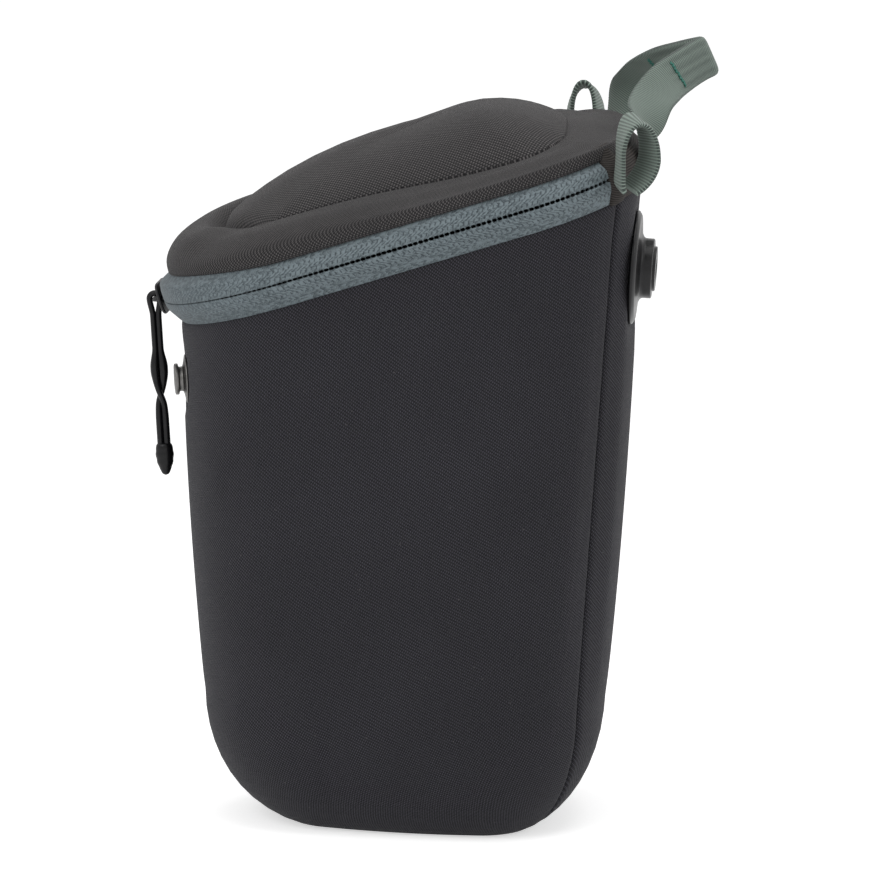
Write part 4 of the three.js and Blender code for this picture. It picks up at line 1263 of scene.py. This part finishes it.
class ZIP_OT_build(bpy.types.Operator):
    """Builds the zip tapes with their woven chain, and the coils behind them"""

    bl_idname = "insert.build_zip"
    bl_label = "Zip"

    def execute(self, context):
        for side, name, body in ((-1, "lower", "bucket"), (1, "upper", "lid")):
            self.tape(side, name, body)
            self.coil(side, name, body)
        return {"FINISHED"}

    def tape(self, side, name, body):
        step = sizes().zip_pitch / 8
        points, normals = RIM.track(wrap_runs(step, shares(CORNER_RUN, step)))
        track = lengths(points)
        rear = np.abs(2 * track / track[-1] - 1)
        near_reaches = np.concatenate([[0, 0.1, 0.22, 0.4], np.linspace(0.6, 3.9, 17)])
        reaches = np.concatenate([near_reaches, np.linspace(3.9, TAPE_WIDTH / MM, 9)[1:]]) * MM
        relief = stitch_relief(track[None, :], reaches[:, None]) * smooth(0.05, 0.5, rear)
        closing = SLIT_HALF - slit_gap(track)
        front = frontness(normals)
        rows, under, cloth = [], [], []
        for reach, height in zip(reaches, relief):
            tuck = TAPE_TUCK * roll(reach, 0.5 * MM)
            near = 1 - smooth(0, 1.3 * MM, reach)
            level = side * (SLIT_HALF + reach - near * closing)
            chain = CHAIN_RISE * (1 - smooth(2.2 * MM, 4.6 * MM, reach))
            inset = tape_inset(side, reach, front) + tuck - STITCH_RISE * height - chain
            rows.append(inset_rim(points, normals, inset, level))
            inset = tape_inset(side, reach, front) + TAPE_THICKNESS
            under.append(inset_rim(points, normals, inset, level))
            cloth.append(np.stack([track, np.full(len(track), reach), rear], 1))
        fabric = MATERIALS["zip_tape"]
        tape = sheet_piece(f"{name}_tape", np.array(rows), np.array(under), fabric, cloth=np.array(cloth))
        finish_piece(tape, body, "zip_tape", f"{name}_zip_tape")

    def coil(self, side, name, body):
        pitch = sizes().zip_pitch
        step = pitch / 10
        points, normals = RIM.track(wrap_runs(step, shares(CORNER_RUN, step)))
        turn = 2 * math.pi * lengths(points) / pitch
        reach = COIL_WIDTH / 2 * (1 - np.cos(turn)) + 0.1 * MM
        deep = TAPE_THICKNESS + 0.45 * MM + (COIL_DEPTH / 2 - 0.3 * MM) * (1 + np.sin(turn))
        inset = tape_inset(side, reach, frontness(normals)) + deep
        path = inset_rim(points, normals, inset, side * (SLIT_HALF + reach - 0.35 * MM))
        coil = bars_piece(f"{name}_coil", [tube_rings(path, COIL_WIRE, 6)], MATERIALS["zip_coil"])
        finish_piece(coil, body, "zip_coil", f"{name}_zip_coil")


# Hinge cloth


def hinge_inset(levels, normals):
    front = frontness(normals)
    reach = np.abs(levels) - SLIT_HALF
    return np.where(levels < 0, tape_inset(-1, reach, front), tape_inset(1, reach, front))


class HINGE_OT_build(bpy.types.Operator):
    """Builds the cloth that joins lid and bucket across the back, with a ridge over each zip end"""

    bl_idname = "insert.build_hinge"
    bl_label = "Hinge cloth"

    def execute(self, context):
        run = lerp(HINGE_OVERLAP, -1, edged_shares(BACK_CORNER_RUN, 1.2 * MM))
        runs = [
            ("corner", -1, run),
            ("back", 1, shares(BACK_RUN, 2 * MM)[1:-1]),
            ("corner", 1, run[::-1]),
        ]
        points, normals = RIM.track(runs)
        track = lengths(points)
        edge = np.minimum(track, track[-1] - track)
        at_end = 1 - smooth(RIDGE_WIDTH, RIDGE_WIDTH + 5 * MM, edge)
        round_off = np.sqrt(np.clip(1 - (2 * edge / RIDGE_WIDTH - 1) ** 2, 0, 1))
        proud = np.where(edge < RIDGE_WIDTH, RIDGE_HEIGHT * round_off, 0)
        proud = np.maximum(proud, HINGE_SWELL * smooth(0, 3 * MM, edge))
        gather = GATHER * np.sin(track / (1.3 * MM)) * at_end
        outer, inner = [], []
        for f in np.linspace(-1, 1, 41):
            levels = f * (FABRIC_EDGE + 0.2 * MM) * (1 + (RIDGE_REACH if f > 0 else 0) * at_end * abs(f))
            brim = roll((1 - abs(f)) * FABRIC_EDGE, HINGE_ROLL)
            base = hinge_inset(levels, normals)
            inset = base - (proud + gather) * (1 - brim)
            outer.append(inset_rim(points, normals, inset, levels))
            inner.append(inset_rim(points, normals, base + HINGE_FABRIC, levels))
        hinge = sheet_piece("hinge_cloth", np.array(outer), np.array(inner), MATERIALS["binding"])
        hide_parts("hinge_strip_body", "hinge_strip_lid")
        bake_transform(hinge)
        return {"FINISHED"}


# Lid


def thinning(placed):
    """How far the lid's top falls: at its front, on its slack +X side, and towards the hinge."""
    side = smooth(0.2 * RIM_BACK_HALF, 0.8 * RIM_BACK_HALF, np.abs(placed[:, 0]))
    front = FRONT_DROP * (1 - smooth(0, 0.25 * RIM_LENGTH, placed[:, 1]))
    along = placed[:, 1] / RIM_LENGTH
    slump = lerp(SLUMP, 0.3 * SLUMP, smooth(0.15, 0.5, along)) * smooth(10 * MM, 26 * MM, placed[:, 0])
    slump = slump * (1 - smooth(0.6, 0.9, along))
    back = BACK_DROP * side * smooth(0, 0.7, along)
    tail = TAIL_DROP * smooth(0.8, 0.97, along) * (1 - 0.7 * side)
    return front + slump + back + tail


def lid_row(points, normals, inset, height, depth):
    inset = np.broadcast_to(inset, len(points))[:, None]
    placed = points - inset * normals
    share = smooth(FABRIC_EDGE, LID_TOP - depth, height)
    return on_rim(placed, height - share * thinning(placed))


def groove_depth(front):
    """The groove round the lid's panel is deep at the front and shallow along the sides."""
    return lerp(SIDE_GROOVE, FRONT_GROOVE, front)


def groove_inset(front):
    return GROOVE_INSET + FRONT_GROOVE_SHIFT * front


def border_grid(points, normals, depth, steps):
    """Up the lid's side, over its padded border and down into the groove."""
    ceiling = LID_TOP - depth
    wall_top = max(FABRIC_EDGE + CLEARANCE, min(LID_WALL_TOP, ceiling - 1 * MM))
    outer = depth == 0
    front = frontness(normals)
    top_inset = crest_inset(normals) if outer else END_CREST
    rows = []
    if outer:
        edge = lid_edge(front)
        overlap = lerp(SIDE_OVERLAP, FRONT_OVERLAP, front)
        for share in (1, 0.9, 0.63, 0.21):
            fold = FABRIC * roll((1 - share) * overlap, 0.8 * MM)
            rows.append(lid_row(points, normals, edge + fold, FABRIC_EDGE - share * overlap, depth))
    else:
        edge = top_inset - SHOULDER + depth
        rows.append(lid_row(points, normals, LID_EDGE_INSET + depth, FABRIC_EDGE, depth))
    foot = FABRIC_EDGE if outer else wall_top
    for turn in np.linspace(0.03, math.pi / 2, steps):
        inset = top_inset - (top_inset - edge) * math.cos(turn)
        rows.append(lid_row(points, normals, inset, lerp(foot, ceiling, math.sin(turn)), depth))
    deep = groove_depth(front) if outer else GROOVE_DEPTH
    for f in np.linspace(0, 1, steps)[1:]:
        bend = 1 - math.cos(math.pi * f ** 2.2 / 2) if outer else (1 - math.cos(math.pi * f)) / 2
        inset = lerp(top_inset, groove_inset(front), f)
        rows.append(lid_row(points, normals, inset, ceiling - deep * bend, depth))
    return np.array(rows)


def panel_grid(points, normals, depth, reaches):
    """The domed middle of the lid, from the groove in to its centre."""
    height = LID_TOP - depth - GROOVE_DEPTH
    front = frontness(normals)
    edge = points - groove_inset(front)[:, None] * normals
    share = smooth(FABRIC_EDGE, LID_TOP - depth, height)
    peak = height + PANEL_DOME
    low = LID_TOP - groove_depth(front) if depth == 0 else height
    rows = []
    for f in reaches:
        rise = peak - (peak - low) * f ** 2.5 - share * thinning(edge) * f ** 3
        if depth == 0:
            rise = rise + PANEL_FRONT_RISE * front * f * (1 - roll((1 - f) * 55 * MM, 4 * MM))
        rows.append(on_rim(lerp(np.array(PANEL_CENTRE), edge, f), rise))
    return np.array(rows)


def plan_cloth(grid):
    """Straight threads over a grid, laid flat on the rim plane."""
    wide = closed(grid) - RIM_ORIGIN
    return np.stack([wide[..., 0], wide @ RIM_ALONG, np.zeros(wide.shape[:2])], -1)


class LID_OT_build(bpy.types.Operator):
    """Builds the lid's padded border, its domed panel and its lining"""

    bl_idname = "insert.build_lid"
    bl_label = "Lid"

    def execute(self, context):
        points, normals = RIM.track(ring_runs(GRID_STEP))
        # The lid wears the lighter copy of the body cloth, painted top light
        fabric = MATERIALS["lid_fabric_painted_top_light"]
        outer = border_grid(points, normals, 0, 14)
        inner = border_grid(points, normals, LID_PAD, 15)
        blank = np.repeat(inner[:1], len(outer) - len(inner), 0)
        inner = np.concatenate([blank, inner])
        ripple = sizes().ripple * waves(outer, LID_RIPPLE_LENGTH) * self.loose(outer)
        outer = outer + ripple[..., None] * RIM_UP
        border = sheet_piece("lid_roll", outer, inner, fabric, True)
        finish_piece(border, "lid", "shell_fabric", "lid_border", "lid_foam")

        top = panel_grid(points, normals, 0, PANEL_REACH)
        under = panel_grid(points, normals, LID_PAD, PANEL_REACH)
        panel = sheet_piece("lid_top", top, under, fabric, True, True, plan_cloth(top))
        finish_piece(panel, "lid", "shell_fabric", "lid_panel")
        self.lining(points, normals)
        return {"FINISHED"}

    def loose(self, grid):
        """Cloth is free to ripple on top of the border, and held at both its edges."""
        place = np.linspace(0, 1, len(grid))
        return (np.sin(math.pi * place) ** 1.5)[:, None]

    def lining(self, points, normals):
        def layer(depth):
            border = border_grid(points, normals, depth, 8)
            panel = panel_grid(points, normals, depth, LID_LINING_REACH)
            return np.concatenate([border, panel])

        low = LID_PAD + CLEARANCE
        grid = layer(low + LINING_FABRIC)
        cloth = plan_cloth(grid)
        lining = sheet_piece("lid_inside", grid, layer(low), MATERIALS["lining"], True, True, cloth)
        finish_piece(lining, "lid", "lining", "lid_lining")


# Fasteners


class FASTENERS_OT_build(bpy.types.Operator):
    """Builds the front press stud and the two back buttons"""

    bl_idname = "insert.build_fasteners"
    bl_label = "Stud and buttons"

    def execute(self, context):
        rings = turned_rings(rounded(STUD_PROFILE, STUD_ROUNDING), stud_seat(), 64)
        piece = bars_piece("press_stud", [rings], MATERIALS["stud_metal"], crease=CREASE)
        finish_piece(piece, "bucket", "stud_metal", "front_stud")
        for side, name in ((-1, "left"), (1, "right")):
            rings = turned_rings(rounded(BUTTON_PROFILE, BUTTON_ROUNDING), button_seat(side), 96)
            piece = bars_piece(f"button_{name}", [rings], MATERIALS["button_plastic"], crease=CREASE)
            finish_piece(piece, "bucket", "button_plastic", f"back_button_{name}")
        for node in ("front_stud_washer", "back_button_washer_left", "back_button_washer_right"):
            part = frame["nodes"][node]
            part.data.materials.clear()
            part.data.materials.append(MATERIALS["stud_metal"])
        return {"FINISHED"}


# Slider and pull


def slider_axes():
    """Origin on the zip line, and the slider's axes: along the zip, across it and out."""
    bar = np.array(JOINTS["pull_swing"]["pos_m"])
    spoke = bar - RIM_MIDDLE
    spoke = spoke - RIM_UP * (spoke @ RIM_UP)
    out = spoke / np.linalg.norm(spoke)
    return RIM_MIDDLE + out * RIM_FRONT_RADIUS, np.cross(RIM_UP, out), RIM_UP, out


def rounded_plate(length, width, corner, low, high, seat, edge=0.25 * MM):
    """Rings of a plate with round corners and soft edges."""
    origin, along, across, out = seat
    turns = np.linspace(0, 2 * math.pi, 49)[:-1]
    rings = []
    a, b = length / 2 - corner, width / 2 - corner
    insets = (PLATE_FACE, edge, 0, 0, edge, PLATE_FACE)
    heights = (low, low, low + edge, high - edge, high, high)
    for inset, height in zip(insets, heights):
        x = np.sign(np.cos(turns)) * a + (corner - inset) * np.cos(turns)
        y = np.sign(np.sin(turns)) * b + (corner - inset) * np.sin(turns)
        rings.append(origin + x[:, None] * along + y[:, None] * across + height * out)
    return np.array(rings)


def pull_axes():
    """The bar's middle, and the pull's axes: along the bar, out from the bag and up the pull."""
    bar = np.array(JOINTS["pull_swing"]["pos_m"])
    along = -np.array(JOINTS["pull_swing"]["axis"])
    low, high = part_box("pull_grip")
    up = bar - np.array((low + high) / 2)
    up -= along * (up @ along)
    up /= np.linalg.norm(up)
    out = np.cross(up, along)
    up = math.cos(PULL_LEAN) * up + math.sin(PULL_LEAN) * out
    return bar, along, np.cross(up, along), up


def strand_radius(drops):
    """A strand swells at the knot and is a little thicker below it."""
    f = drops / CORD_DROP
    knot = smooth(0.34, 0.48, f) * (1 - smooth(0.5, 0.64, f))
    return CORD_RADIUS + KNOT_SWELL * knot + TAIL_SWELL * smooth(0.68, 0.85, f)


def strand(sign, drops):
    """A strand of the pull below its bar: the two lie together, knot and cross once."""
    f = drops / CORD_DROP
    spread = lerp(CORD_RING, 0.93 * strand_radius(drops), smooth(0, 0.12, f))
    turn = math.pi * smooth(0.54, 0.78, f) + math.pi / 2
    return np.stack([sign * spread * np.cos(turn), sign * spread * np.sin(turn), -drops], 1)


class SLIDER_OT_build(bpy.types.Operator):
    """Builds the zip slider and its twisted pull"""

    bl_idname = "insert.build_slider"
    bl_label = "Slider and pull"

    def execute(self, context):
        self.slider()
        bar, along, out, up = pull_axes()
        drops = np.linspace(0, CORD_DROP + 1.5 * MM, 110)
        over = np.linspace(0, math.pi, 17)[1:-1]
        bend = np.stack([np.zeros(15), CORD_RING * np.cos(over), CORD_RING * np.sin(over)], 1)
        path = np.concatenate([strand(1, drops)[::-1], bend, strand(-1, drops)])
        basis = np.array([along, out, up])
        radii = strand_radius(np.concatenate([drops[::-1], np.zeros(len(bend)), drops]))
        rings = tube_rings(bar + path @ basis, radii, 18)
        cord = bars_piece("pull_loop", [rings], MATERIALS["pull_rubber"])
        finish_piece(cord, "pull", "pull_rubber", "pull_cord")
        self.grip(bar, along, out, up)
        return {"FINISHED"}

    def slider(self):
        seat = slider_axes()
        origin, along, across, out = seat
        plates = [rounded_plate(*row, seat) for row in SLIDER_PLATES]
        post_seat = (origin + POST_PLACE * along, along, across, out)
        plates.append(rounded_plate(*SLIDER_POST, post_seat, POST_EDGE))
        bar_height = (np.array(JOINTS["pull_swing"]["pos_m"]) - origin) @ out
        f = np.linspace(-1, 1, 41)
        x = BAIL_HALF * np.sign(f) * np.abs(f) ** 0.9
        rise = BAIL_FOOT + (bar_height - BAIL_FOOT) * (1 - np.abs(f) ** 3.2)
        arch = origin + x[:, None] * along + rise[:, None] * out
        plates.append(tube_rings(arch, BAIL_RADIUS + BAIL_FLARE * np.abs(f) ** 4, 14))
        slider = bars_piece("zip_slider", plates, MATERIALS["slider_paint"], crease=CREASE)
        finish_piece(slider, "slider", "stud_metal", "slider_body")

    def grip(self, bar, along, out, up):
        f = np.linspace(0, 1, 34)
        width = TIP_WIDTH * (0.98 + 0.2 * np.sin(math.pi * np.minimum(1.15 * f, 1)) - 0.55 * f ** 3) / 2
        ribs = np.cos(2 * math.pi * TIP_RIBS * f) * smooth(0.15, 0.3, f) * (1 - smooth(0.75, 0.9, f))
        width = width * (1 - TIP_RIB_SHARE * ribs)
        width = width * np.sqrt(np.clip(1 - (2 * f - 1) ** 14, 0.05, 1))
        turns = np.arange(28) * 2 * math.pi / 28
        level = -(CORD_DROP + f * GRIP_DROP)
        section = TIP_FLATNESS * np.cos(turns)[:, None] * along + np.sin(turns)[:, None] * out
        rings = bar + level[:, None, None] * up + width[:, None, None] * section
        grip = bars_piece("pull_tip", [rings], MATERIALS["pull_rubber"])
        finish_piece(grip, "pull", "pull_rubber", "pull_grip")


# Webbing


def rim_back(x, height):
    """A point on the back of the rim at an X, raised square to the rim plane."""
    on_arc = abs(x) < RIM.back_radius * math.sin(BACK_ARC)
    arc_v = RIM.back_v + math.sqrt(RIM.back_radius ** 2 - x * x)
    side = abs(x) - RIM.corner_u
    corner_v = RIM.corner_v + math.sqrt(max(RIM.corner ** 2 - side * side, 0))
    return on_rim(np.array([[x, arc_v if on_arc else corner_v]]), height)[0]


def strap(path, across, widths, thicknesses, ridges, pitch):
    """Rings, cloth coordinates and relief of a woven strap along a path. The relief, which the webbing's
    colour follows, is lighter on the ribs and holds painted shade in the grooves between the grip's ridges.
    """
    along = directions(path)
    track = lengths(path)
    x = np.cos(np.linspace(0, math.pi, 19))
    body = (1 - np.abs(x) ** 7) ** 0.5
    edge = np.abs(x) ** 6
    rim = np.concatenate([edge, edge[::-1][1:-1], edge[:1]])
    rings, cloth, relief = [], [], []
    for i, point in enumerate(path):
        side = across[i] - along[i] * (across[i] @ along[i])
        side /= np.linalg.norm(side)
        face = np.cross(along[i], side)
        wave = 0.5 + 0.5 * math.cos(2 * math.pi * track[i] / pitch)
        quilt = ridges[i] * (np.cos(4.5 * math.pi * x) - 1) * 0.5
        half = (thicknesses[i] / 2) * body + (RIB_RISE * (wave - 0.6) + quilt) * body
        reach = x * (widths[i] / 2) * (1 + RIB_SWELL * (wave - 0.5))
        top = point + reach[:, None] * side + half[:, None] * face
        low = point + reach[::-1][1:-1, None] * side - half[::-1][1:-1, None] * face
        rings.append(np.concatenate([top, low]))
        run = np.concatenate([reach, reach[::-1][1:-1], reach[:1]])
        cloth.append(np.stack([run, np.full(len(run), track[i]), rim], 1))
        # Painted shade: the colour's tone falls in the grooves between the grip's ridges
        tone = np.clip(wave + quilt / GROOVE_PAINTED_SHADE_DEPTH, 0, 1)
        relief.append(np.concatenate([tone, tone[::-1][1:-1]]))
    return np.array(rings), np.array(cloth), np.array(relief)


def along_path(points, count):
    """Evenly spaced points on a smooth curve through a few."""
    points = np.asarray(points, float)
    padded = np.concatenate([[2 * points[0] - points[1]], points, [2 * points[-1] - points[-2]]])
    fine = []
    for a, b, c, d in zip(padded, padded[1:], padded[2:], padded[3:]):
        for t in np.linspace(0, 1, 60, endpoint=False):
            curve = 2 * b + (c - a) * t + (2 * a - 5 * b + 4 * c - d) * t * t
            fine.append(0.5 * (curve + (3 * b - a - 3 * c + d) * t ** 3))
    fine = np.array(fine + [points[-1]])
    track = lengths(fine)
    even = np.linspace(0, track[-1], count)
    return np.stack([np.interp(even, track, fine[:, k]) for k in range(3)], 1)


class WEBBING_OT_build(bpy.types.Operator):
    """Builds the two corner loops, the carrying handle and its bar tacks"""

    bl_idname = "insert.build_webbing"
    bl_label = "Webbing"

    def execute(self, context):
        self.loop(1, "right")
        self.loop(-1, "left")
        self.handle()
        return {"FINISHED"}

    def loop(self, side, name):
        behind = np.array([-side * math.sin(LOOP_TURN), math.cos(LOOP_TURN), 0])
        front = rim_back(LOOP_X - LOOP_WIDTH / 2, 0)[1] + CLEARANCE + LOOP_WIDTH / 2 * math.sin(LOOP_TURN)
        bottom = rim_back(LOOP_X, -TAPE_EDGE)[2] + WEBBING_LIFT + LOOP_LIFT
        middle = np.array([side * LOOP_X, front, bottom + LOOP_HEIGHT / 2]) + behind * LOOP_DEPTH / 2
        a = (LOOP_DEPTH - WEBBING_THICKNESS) / 2
        b = (LOOP_HEIGHT - WEBBING_THICKNESS) / 2
        open_half = math.asin((WEBBING_THICKNESS / 2 + CLEARANCE) / a)
        turns = np.linspace(open_half, 2 * math.pi - open_half, LOOP_ROWS)
        path = middle + a * np.sin(turns)[:, None] * behind
        path[:, 2] -= b * np.cos(turns)
        path -= (LOOP_DROOP * np.maximum(np.cos(turns), 0) ** 2)[:, None] * behind
        count = len(path)
        lean = LOOP_TURN + LOOP_FLARE * np.sin(turns)
        dip = np.full(count, -side * math.sin(LOOP_DIP))
        across = np.stack([np.cos(lean), side * np.sin(lean), dip], 1)
        rings, cloth, relief = strap(
            path, across, [LOOP_WIDTH] * count, [WEBBING_THICKNESS] * count, [0] * count, sizes().rib_pitch
        )
        loop = bars_piece(f"loop_{name}", [rings], MATERIALS["webbing"], [cloth], relief.ravel())
        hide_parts(f"corner_loop_{name}")
        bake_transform(loop)

    def handle(self):
        root_y = rim_back(HANDLE_ROOT_X, 0)[1] + CLEARANCE + WEBBING_THICKNESS / 2
        root_z = rim_back(HANDLE_ROOT_X, -TAPE_EDGE)[2] + WEBBING_LIFT
        line = np.array(HANDLE_LINE) * [HANDLE_ROOT_X, HANDLE_REACH, HANDLE_RISE]
        path = along_path(line + [0, root_y, root_z], HANDLE_ROWS)
        f = np.linspace(-1, 1, len(path))
        along = 1 - np.abs(f)
        twist = smooth(0.08, 0.45, along)
        fold = smooth(0.35, 0.85, along)
        turn = math.asin(HANDLE_ROOT_X / RIM.back_radius)
        inward = np.where(f < 0, -1, 1)
        level = np.zeros(len(f))
        root_across = np.stack([inward * math.cos(turn), level + math.sin(turn), level], 1)
        across = lerp(root_across, HANDLE_TWIST, twist[:, None])
        across = lerp(across, GRIP_TWIST, fold[:, None])
        widths = lerp(HANDLE_WIDTH, GRIP_WIDTH, fold)
        thick = lerp(WEBBING_THICKNESS, GRIP_THICKNESS, fold)
        tip = 1 - smooth(0.93, 0.99, along)
        ridges = HANDLE_RIDGE * smooth(0.5, 0.85, fold) * tip
        rings, cloth, relief = strap(path, across, widths, thick, ridges, 0.75 * sizes().rib_pitch)
        handle = bars_piece("handle", [rings], MATERIALS["webbing"], [cloth], relief.ravel())
        finish_piece(handle, "handle", "webbing", "carry_handle")
        self.tacks(rings, path, root_y + TACK_PLACE * HANDLE_REACH)

    def tacks(self, rings, path, y):
        """A bar tack across both faces of each leg, at a distance back from the bag."""
        middle = len(path) // 2
        near = np.argmin(np.abs(path[:middle, 1] - y))
        far = middle + np.argmin(np.abs(path[middle:, 1] - y))
        sides = rings.shape[1] // 2
        f = np.linspace(0, 1, TACK_POINTS)
        columns = np.linspace(TACK_MARGIN, sides - TACK_MARGIN, TACK_POINTS)
        radii = TACK_THREAD * np.sqrt(np.clip(1 - (2 * f - 1) ** 8, 0.1, 1))
        zigzag = TACK_SWING * np.sin(2 * math.pi * TACK_TURNS * f)[:, None]
        spot = columns.astype(int)
        part = (columns - spot)[:, None]
        bars = []
        for index in (near, far):
            for first in (0, sides):
                ring = np.roll(rings[index], -first, 0)
                after = np.roll(rings[index + 1], -first, 0)
                face = lerp(ring[spot], ring[spot + 1], part)
                along = after[spot] - ring[spot]
                along /= np.linalg.norm(along, axis=1, keepdims=True)
                out = np.cross(ring[spot + 1] - ring[spot], along)
                out /= np.linalg.norm(out, axis=1, keepdims=True)
                out *= np.sign(((face - path[index]) * out).sum(1, keepdims=True))
                bars.append(tube_rings(face + out * TACK_LIFT + along * zigzag, radii, 8))
        piece = bars_piece("bar_tacks", bars, MATERIALS["tack"])
        finish_piece(piece, "handle", "webbing")


# Stage


class STAGE_OT_build(bpy.types.Operator):
    """Builds the floor, the light and the camera"""

    bl_idname = "insert.build_stage"
    bl_label = "Stage"

    def execute(self, context):
        scene = context.scene
        scene.view_settings.view_transform = "Standard"
        self.camera(scene)
        self.floor(scene)
        self.sky(scene)
        for lamp in LAMPS:
            self.lamp(*lamp)
        return {"FINISHED"}

    def camera(self, scene):
        stage = scene.insert_stage
        data = bpy.data.cameras.new("camera")
        camera = bpy.data.objects.new("camera", data)
        scene.collection.objects.link(camera)
        a, e = stage.azimuth, stage.elevation
        back = Vector((math.sin(a) * math.cos(e), -math.cos(a) * math.cos(e), math.sin(e)))
        camera.location = Vector(stage.aim) + back * stage.distance
        camera.rotation_mode = "QUATERNION"
        camera.rotation_quaternion = (-back).to_track_quat("-Z", "Y")
        data.sensor_width = SENSOR_WIDTH
        data.lens = data.sensor_width * stage.distance / stage.span
        data.clip_end = VIEW_END
        scene.camera = camera

    def seen(self, w):
        """1 where a camera, mirror or glass ray meets the background."""
        path = w.add("ShaderNodeLightPath").outputs
        bright = w.math("MAXIMUM", path["Is Camera Ray"], path["Is Glossy Ray"])
        return w.math("MAXIMUM", bright, path["Is Transmission Ray"])

    def floor(self, scene):
        material = bpy.data.materials.new("Pale floor")
        material.use_nodes = True
        w = Wiring(material.node_tree)
        material.node_tree.nodes.clear()
        matt = w.add("ShaderNodeBsdfDiffuse", {"Color": opaque(scene.insert_stage.floor)})
        white = w.add("ShaderNodeEmission", {"Color": WHITE, "Strength": FLOOR_GLOW})
        soft = w.add("ShaderNodeAddShader", {0: white.outputs[0], 1: matt.outputs[0]})
        pick = w.add("ShaderNodeMixShader", {0: self.seen(w), 1: matt.outputs[0], 2: soft.outputs[0]})
        w.put(w.add("ShaderNodeOutputMaterial").inputs[0], pick.outputs[0])
        mesh = bpy.data.meshes.new("floor")
        corners = [(x * FLOOR_HALF, y * FLOOR_HALF, 0) for x, y in ((-1, -1), (1, -1), (1, 1), (-1, 1))]
        mesh.from_pydata(corners, [], [(0, 1, 2, 3)])
        mesh.materials.append(material)
        floor = bpy.data.objects.new("floor", mesh)
        floor.location.z = -FLOOR_DROP
        scene.collection.objects.link(floor)

    def sky(self, scene):
        world = bpy.data.worlds.new("sky")
        world.use_nodes = True
        scene.world = world
        w = Wiring(world.node_tree)
        world.node_tree.nodes.clear()
        light = w.add("ShaderNodeBackground", {"Color": WHITE, "Strength": scene.insert_stage.sky})
        white = w.add("ShaderNodeBackground", {"Color": WHITE, "Strength": 1.0})
        pick = w.add("ShaderNodeMixShader", {0: self.seen(w), 1: light.outputs[0], 2: white.outputs[0]})
        w.put(w.add("ShaderNodeOutputWorld").inputs[0], pick.outputs[0])

    def lamp(self, name, place, size, power):
        data = bpy.data.lights.new(name, "AREA")
        data.size = size
        data.energy = power
        lamp = bpy.data.objects.new(name, data)
        lamp.location = place
        aim = Vector(LAMP_AIM) - lamp.location
        lamp.rotation_mode = "QUATERNION"
        lamp.rotation_quaternion = aim.to_track_quat("-Z", "Y")
        bpy.context.scene.collection.objects.link(lamp)


STEPS = [
    STAGE_OT_build,
    WALLS_OT_build,
    LINING_OT_build,
    ZIP_OT_build,
    HINGE_OT_build,
    LID_OT_build,
    FASTENERS_OT_build,
    SLIDER_OT_build,
    WEBBING_OT_build,
]


class INSERT_PT_panel(bpy.types.Panel):
    """The insert's pieces, sizes and colours"""

    bl_idname = "INSERT_PT_panel"
    bl_label = "Padded insert"
    bl_space_type = "VIEW_3D"
    bl_region_type = "UI"
    bl_category = "Insert"

    def draw(self, context):
        for step in STEPS:
            self.layout.operator(step.bl_idname)
        for group in (context.scene.insert_sizes, context.scene.insert_colours, context.scene.insert_stage):
            box = self.layout.box()
            for name in group.__annotations__:
                box.prop(group, name)


GROUPS = {"insert_sizes": InsertSizes, "insert_colours": InsertColours, "insert_stage": StageSettings}


def register():
    for kind in [*GROUPS.values(), *STEPS, INSERT_PT_panel]:
        bpy.utils.register_class(kind)
    for name, kind in GROUPS.items():
        setattr(bpy.types.Scene, name, bpy.props.PointerProperty(type=kind))


def unregister():
    for name in GROUPS:
        delattr(bpy.types.Scene, name)
    for kind in [INSERT_PT_panel, *reversed(STEPS), *GROUPS.values()]:
        bpy.utils.unregister_class(kind)


def main():
    register()
    MATERIALS.update(make_materials())
    for step in STEPS:
        group, name = step.bl_idname.split(".")
        getattr(getattr(bpy.ops, group), name)()


if __name__ == "__main__":
    main()
